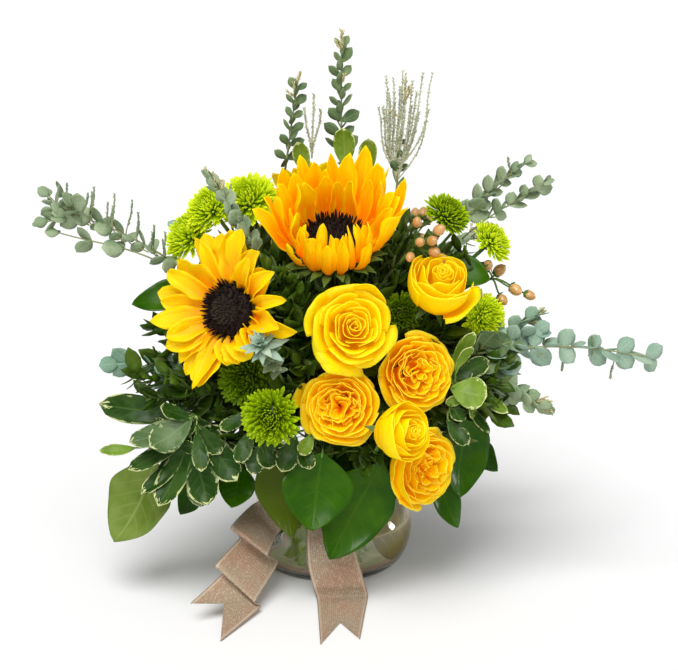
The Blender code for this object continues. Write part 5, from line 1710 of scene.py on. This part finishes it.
def build_broad():
    """Broad drooping leaves on twigs from one short stem each."""
    rng = np.random.default_rng(17)
    vary = rng.uniform
    for name, (foot, leaves) in BROAD_LEAVES.items():
        heap = Heap()
        foot = np.array(foot, float)
        way = unit(outwards(foot))
        for number, (start, tip, width, turn) in enumerate(leaves):
            start, tip, run = line(start, tip)
            grid = petal(np.linalg.norm(tip - start), width, BROAD_LEANS, 21, 13, *BROAD_SHAPE,
                vary(0.25, 0.45), 0.0, 0.07, vary(-0.15, 0.15), vary(0, 6))
            points, faces, places = sheet(laid(grid, start, tip, heading(turn, 25)), 0.7)
            half = len(points) // 2
            olive = name == "broad_front" and number == 0
            tones = np.concatenate([np.full(half, float(olive)), np.ones(len(points) - half)])
            light = name == "broad_left_low" and number == 0
            heap.add(points, faces, places, tones, 1 if light else 0)
            twig = bent(foot, way, start + run * 4, run, 10)
            add_tube(heap, twig, (1.2, 0.8), 7, 0.5, 2)
        for number, side in enumerate(RIM_LEAVES.get(name, ())):
            around = math.radians(side + vary(-6, 6))
            out = np.array((math.sin(around), -math.cos(around), 0))
            start = out * vary(52, 60) + (0, 0, vary(122, 140))
            tip = out * vary(88, 104) + (0, 0, vary(84, 108))
            length = np.linalg.norm(tip - start)
            grid = petal(length, length * vary(0.62, 0.8), BROAD_LEANS, 13, 9, *BROAD_SHAPE,
                vary(0.25, 0.45), 0.0, 0.07, vary(-0.3, 0.3), number)
            grid = laid(grid, start, tip, out + (0, 0, 0.7))
            heap.add(*sheet(grid, 0.7), vary(0, 0.3))
            run = unit(tip - start)
            twig = bent(foot, way, start + run * 4, run, 10)
            add_tube(heap, twig, (1.1, 0.7), 6, 0.5, 2)
        place_piece(heap.mesh(SALAL, SALAL_LIGHT, STEM), name + "_leaves", "broad_leaf", name)


def add_leaf(heap, foot, tip, width, face, leans, shape, rng, tone, slot, rows=13):
    """Add a leaf from its foot to its tip; shape is where it is widest, its foot and point."""
    foot, tip, _ = line(foot, tip)
    grid = petal(np.linalg.norm(tip - foot), width, leans, rows, 9, *shape, rng.uniform(0.25, 0.55),
        0.0, 0.08, rng.uniform(-0.35, 0.35), rng.uniform(0, 6))
    heap.add(*sheet(laid(grid, foot, tip, face), 0.55), tone, slot)


# Tip of the light leaf at the right that no leaf of the rosette covers.
CLEAR_TIP = (118, -100, 191)


def build_variegated():
    """Sprays of blunt cream-edged leaves."""
    rng = np.random.default_rng(23)
    vary = rng.uniform
    for name, (foot, middle, turn, rise, length, count) in VARIEGATED.items():
        heap = Heap()
        foot, middle, run = line(foot, middle)
        way = heading(turn, rise)
        add_tube(heap, bent(foot, run, middle, way, 6), (1.4, 1.2), 7, 0.5, 3)
        placed = EDGED_LEAVES.get(name, ())
        total = int(count * (1.2 if placed else 2.2))
        look = 1 if name in ("top", "right") else 0
        for index in range(total):
            share = (index + 0.5) / total
            lean = (70 if placed else 22) + (45 if placed else 88) * share + vary(-10, 10)
            size = length * vary(0.85, 1.1) * (0.55 + 0.5 * share) * (0.8 if placed else 1)
            grid = petal(size, size * vary(0.44, 0.54), (lean - 12, lean, lean + 20), 13, 9,
                vary(0.6, 0.68), 0.12, vary(0.42, 0.55),
                vary(0.2, 0.6), 0.0, 0.07, vary(-0.4, 0.4), vary(0, 6))
            spot = middle - (middle - foot) * (0.4 * share)
            grid = seated(turned_grid(grid, index * GOLDEN), spot, way)
            tone = rng.random()
            over = np.abs(grid[-1, grid.shape[1] // 2] - CLEAR_TIP)
            if name != "right" or over.max() > 16:
                heap.add(*sheet(grid, 0.55), tone, look)
        for start, tip, width, face, look in placed:
            add_leaf(heap, start, tip, width, heading(face, 30), (24, 4, -14, -30),
                (vary(0.6, 0.68), 0.12, vary(0.42, 0.52)), rng, rng.random(), look)
            start, _, out = line(start, tip)
            twig = bent(foot, run, start + out * 3, out, 8)
            add_tube(heap, twig, (1.1, 0.8), 6, 0.5, 3)
        looks = (EDGED, EDGED_LIGHT, EDGED_PALE, STEM)
        node = "variegated_" + name
        place_piece(heap.mesh(*looks), node + "_rosette", "variegated_leaf", node)


# Centre and radius of the ball that each flower head fills.
HEAD_BALLS = [(np.array(centre, float), length * 0.75)
    for centre, _, _, _, length in SUNFLOWERS.values()]
HEAD_BALLS += [(np.array(centre, float), radius)
    for centre, _, _, radius in (*ROSES.values(), *MUMS.values())]


def clear_of_heads(path):
    """The part of a path before it comes near a flower head."""
    for spot in range(3, len(path)):
        if any(np.linalg.norm(path[spot] - centre) < ball + 9 for centre, ball in HEAD_BALLS):
            return path[:spot]
    return path


FILLER_TWIGS = 460
FILLER_CENTRE = (0, 0, 205)
FILLER_REACH = (134, 116, 118)


def build_filler():
    """Dark leafy twigs that fill the inside of the arrangement up to the flowers."""
    rng = np.random.default_rng(29)
    narrow = source_shape("narrow_leaf", petal(17, 4.2, (14, 0, -22), 4, 3, 0.4, 0.3, 0.9, 0.5), 0.3)
    wide = source_shape("wide_leaf", petal(24, 12.5, (18, 0, -26), 5, 3, 0.45, 0.15, 0.75, 0.45), 0.3)
    groups = {}
    for index in range(FILLER_TWIGS):
        height = -0.4 + 1.28 * (index + 0.5) / FILLER_TWIGS
        rise = math.asin(min(height, 1.0)) + rng.uniform(-0.08, 0.08)
        turn = index * GOLDEN
        way = np.array((math.cos(turn) * math.cos(rise), math.sin(turn) * math.cos(rise), math.sin(rise)))
        reach = rng.uniform(0.74, 1.02)
        end = np.array(FILLER_CENTRE) + way * FILLER_REACH * reach
        start = np.array((way[0] * 18, way[1] * 18, 138 + rng.uniform(-6, 10)))
        first = np.array((way[0], way[1], 0.8))
        path = clear_of_heads(bent(start, unit(first), end, way, 9))
        if len(path) > 4:
            key = ("fern_front" if end[1] < 0 else "fern_back", "", index % 3 > 0)
            groups.setdefault(key, []).append(path)
    for number, end in enumerate(TWIG_ENDS):
        end = np.array(end, float)
        way = unit(end - (0, 0, 150))
        start = end * (0.35, 0.35, 0) + (0, 0, min(165, end[2]))
        for broad in (number % 3 == 0, number % 3 > 0):
            path = clear_of_heads(bent(start, way, end + rng.uniform(-6, 6, 3), way, 9))
            if len(path) > 4:
                groups.setdefault(("fern_front", "_edge", broad), []).append(path)
    for number, ((name, part, broad), paths) in enumerate(groups.items()):
        mesh = grown(LEAFY_SPRAY, paths, Leaf=wide if broad else narrow, Joints=9 if broad else 12,
            Bare_Foot=0.35, Lean=1.0, Tip_Lean=0.6, Turn=2.2, Twist=0.5, Foot_Size=0.9,
            Tip_Size=0.9, Looseness=0.4, Foot_Radius=0.001,
            Seed=number, Leaf_Finish=FERN_BROAD if broad else FERN, Stalk_Finish=FERN)
        place_piece(mesh, name + part + ("_greenery" if broad else "_twigs"), "fern_leaf", name)


# ---- stems

def add_lining(heap, turns, heights, slot):
    """Broad leaf laid round the inside of the bowl between two turns."""
    low, high = heights
    inner = np.array(bowl_profiles()[1][1:])
    along = np.linspace(0, 1, 19)
    turn = np.radians(turns[0] + (turns[1] - turns[0]) * along)[:, None]
    half = np.maximum(np.sin(np.pi * along ** 0.85) ** 0.8, 0.03)[:, None]
    level = (low + high) / 2 + (high - low) / 2 * half * np.linspace(-1, 1, 11)[None, :]
    reach = np.interp(level, inner[:, 1], inner[:, 0]) - 3
    grid = np.stack([reach * np.sin(turn), -reach * np.cos(turn), level], -1)
    heap.add(*sheet(grid, 0.6), 0.5, slot)


def stem_ends():
    """Place, way, distance behind the place and radius of every stem's upper end."""
    ends = []
    heads = [(*flower[:3], 19, 3.3) for flower in SUNFLOWERS.values()]
    heads += [(*rose[:3], rose[3] * 0.8 + 8, 2.3) for rose in ROSES.values()]
    heads += [(*mum[:3], mum[3] * 0.38, 1.8) for mum in MUMS.values()]
    for centre, turn, rise, back, radius in heads:
        ends.append((np.array(centre), np.array(heading(turn, rise)), back, radius))
    sprays = (*BERRIES.values(), *EUCALYPTUS.values(), TUFT, *VARIEGATED.values())
    for spray in sprays:
        foot, _, way = line(*spray[:2])
        ends.append((foot, way, 0, 1.3))
    for foot, _ in BROAD_LEAVES.values():
        ends.append((np.array(foot, float), outwards(foot) / 1.118, 0, 1.5))
    return ends


# Stems cross between the bowl's floor and its neck, and part again above this height.
NECK_LEVEL = 104
CROWN_LEVEL = 142


def build_stems():
    """Cut stems from the water to every flower and spray, and the leaves that line the bowl."""
    rng = np.random.default_rng(37)
    heap = Heap()
    for index, (place, way, back, radius) in enumerate(stem_ends()):
        end = place - way * back
        flat = np.array((end[0], end[1], 0.0))
        far = np.linalg.norm(flat)
        flat = flat / max(far, 1.0)
        share = min(1.0, far / 90)
        neck = flat * share * 19 + (rng.uniform(-3, 3), rng.uniform(-3, 3), 0)
        low = -flat * share * 26 + (rng.uniform(-8, 8), rng.uniform(-8, 8), 0)
        low *= min(1.0, 31 / max(np.hypot(low[0], low[1]), 1.0))
        floor = FLOOR + radius + 1 if index % 3 else FLOOR + 14
        below = bent(low + (0, 0, floor), ((neck - low) + (0, 0, 90)) / 95, neck + (0, 0, NECK_LEVEL),
            (0, 0, 1), 6, 0.3)
        way_up = unit(flat * share + (0, 0, 1))
        above = bent(neck + (0, 0, NECK_LEVEL), (0, 0, 1), flat * share * 30 + (0, 0, CROWN_LEVEL),
            way_up, 4, 0.3)
        last = bent(above[-1], way_up, end, way, 10)
        add_tube(heap, np.concatenate([below, above[1:2]]), radius * 1.12, 8, rng.random())
        path = np.concatenate([above, last[1:]])
        add_tube(heap, path, (radius * 1.1, radius), 8, rng.random(), 4)
    for start, end, radius in (((-22, -34, 12), (-17, -33, 104), 3.2),
            ((-4, -38, 12), (-8, -34, 104), 2.4)):
        path = bent(start, (0, 0, 1), end, (0, 0, 1), 8)
        add_tube(heap, path, (radius * 1.1, radius), 10, 0.8)
    # Leaves that line the bowl, glowing as painted light; the golden one at the right is a painted
    # reflection.
    for turns, heights, slot in (((128, 246), (17, 74), 1), ((32, 98), (14, 70), 2),
            ((-118, -60), (18, 64), 1)):
        add_lining(heap, turns, heights, slot)
    # Thin discs on the floor of the bowl: the wider one is a painted reflection in the glass foot, and the
    # other a glowing lining, painted light.
    for reach, level, slot in ((46, FLOOR + 0.6, 3), (40, FLOOR + 2, 1)):
        edge = [(0, level), (reach - 1, level), (reach, level + 0.5), (reach - 1, level + 1), (0, level + 1)]
        heap.add(*lathe(edge, 40), 0.5, slot)
    looks = (WET_STEM, LINING, LINING_WITH_REFLECTION, FOOT_REFLECTION, STEM)
    place_piece(heap.mesh(*looks), "cut_stems", "green_stem", "stems")


# ---- floor, light and camera

# Lamps: name, turn, rise, strength, softness in degrees, and whether they give gloss only.
LAMPS = (
    ("key light", -17, 60, 2.55, 42, False), ("front light", 10, 30, 0.45, 60, False),
    ("leaf gloss light", -10, 37, 1.6, 16, True), ("bowl gloss light", 98, 6, 0.8, 10, True),
)
# Camera, in metres: the point it looks at, its distance, how many degrees it looks down,
# and half the width of its picture at a distance of 1.
AIM = (0.008, 0, 0.214)
CAMERA_DISTANCE = 1.5
CAMERA_DOWN = 15
HALF_WIDTH = 339 / 1667


def build_stage():
    """Pale floor, soft studio light and the camera."""
    scene = bpy.context.scene
    scene.view_settings.view_transform = "Standard"
    bm = bmesh.new()
    bmesh.ops.create_grid(bm, x_segments=1, y_segments=1, size=30)
    mesh = bpy.data.meshes.new("floor")
    bm.to_mesh(mesh)
    bm.free()
    material, _, shader = new_material("pale floor")
    shader.inputs["Base Color"].default_value = (0.9, 0.9, 0.9, 1)
    shader.inputs["Roughness"].default_value = 0.9
    mesh.materials.append(material)
    floor = bpy.data.objects.new("floor", mesh)
    scene.collection.objects.link(floor)

    world = bpy.data.worlds.new("studio")
    world.use_nodes = True
    scene.world = world
    tree = world.node_tree
    path = add(tree, "ShaderNodeLightPath").outputs
    through = times(tree, path["Is Transmission Ray"], 0.55)
    seen = calc(tree, "MAXIMUM", path["Is Camera Ray"], through)
    tree.links.new(spread(tree, seen, 0.4, 1.0), tree.nodes["Background"].inputs["Strength"])
    tree.nodes["Background"].inputs["Color"].default_value = (1, 1, 1, 1)

    for name, turn, rise, strength, softness, gloss_only in LAMPS:
        lamp = bpy.data.lights.new(name, "SUN")
        lamp.energy = strength
        lamp.angle = math.radians(softness)
        item = bpy.data.objects.new(name, lamp)
        item.visible_diffuse = not gloss_only
        item.rotation_euler = heading(turn, rise).to_track_quat("Z", "Y").to_euler()
        scene.collection.objects.link(item)

    down = math.radians(CAMERA_DOWN)
    way = Vector((0, math.cos(down), -math.sin(down)))
    camera = bpy.data.cameras.new("camera")
    camera.sensor_width = 36
    camera.lens = camera.sensor_width / 2 / HALF_WIDTH
    item = bpy.data.objects.new("camera", camera)
    item.location = Vector(AIM) - way * CAMERA_DISTANCE
    item.rotation_euler = way.to_track_quat("-Z", "Y").to_euler()
    scene.collection.objects.link(item)
    scene.camera = item


for build in (build_bowl, build_ribbon, build_stems, build_sunflower_top, build_sunflower_left,
        build_sunflower_back, build_roses, build_mums, build_berries, build_eucalyptus,
        build_plume, build_broad, build_variegated, build_filler, build_stage):
    build()
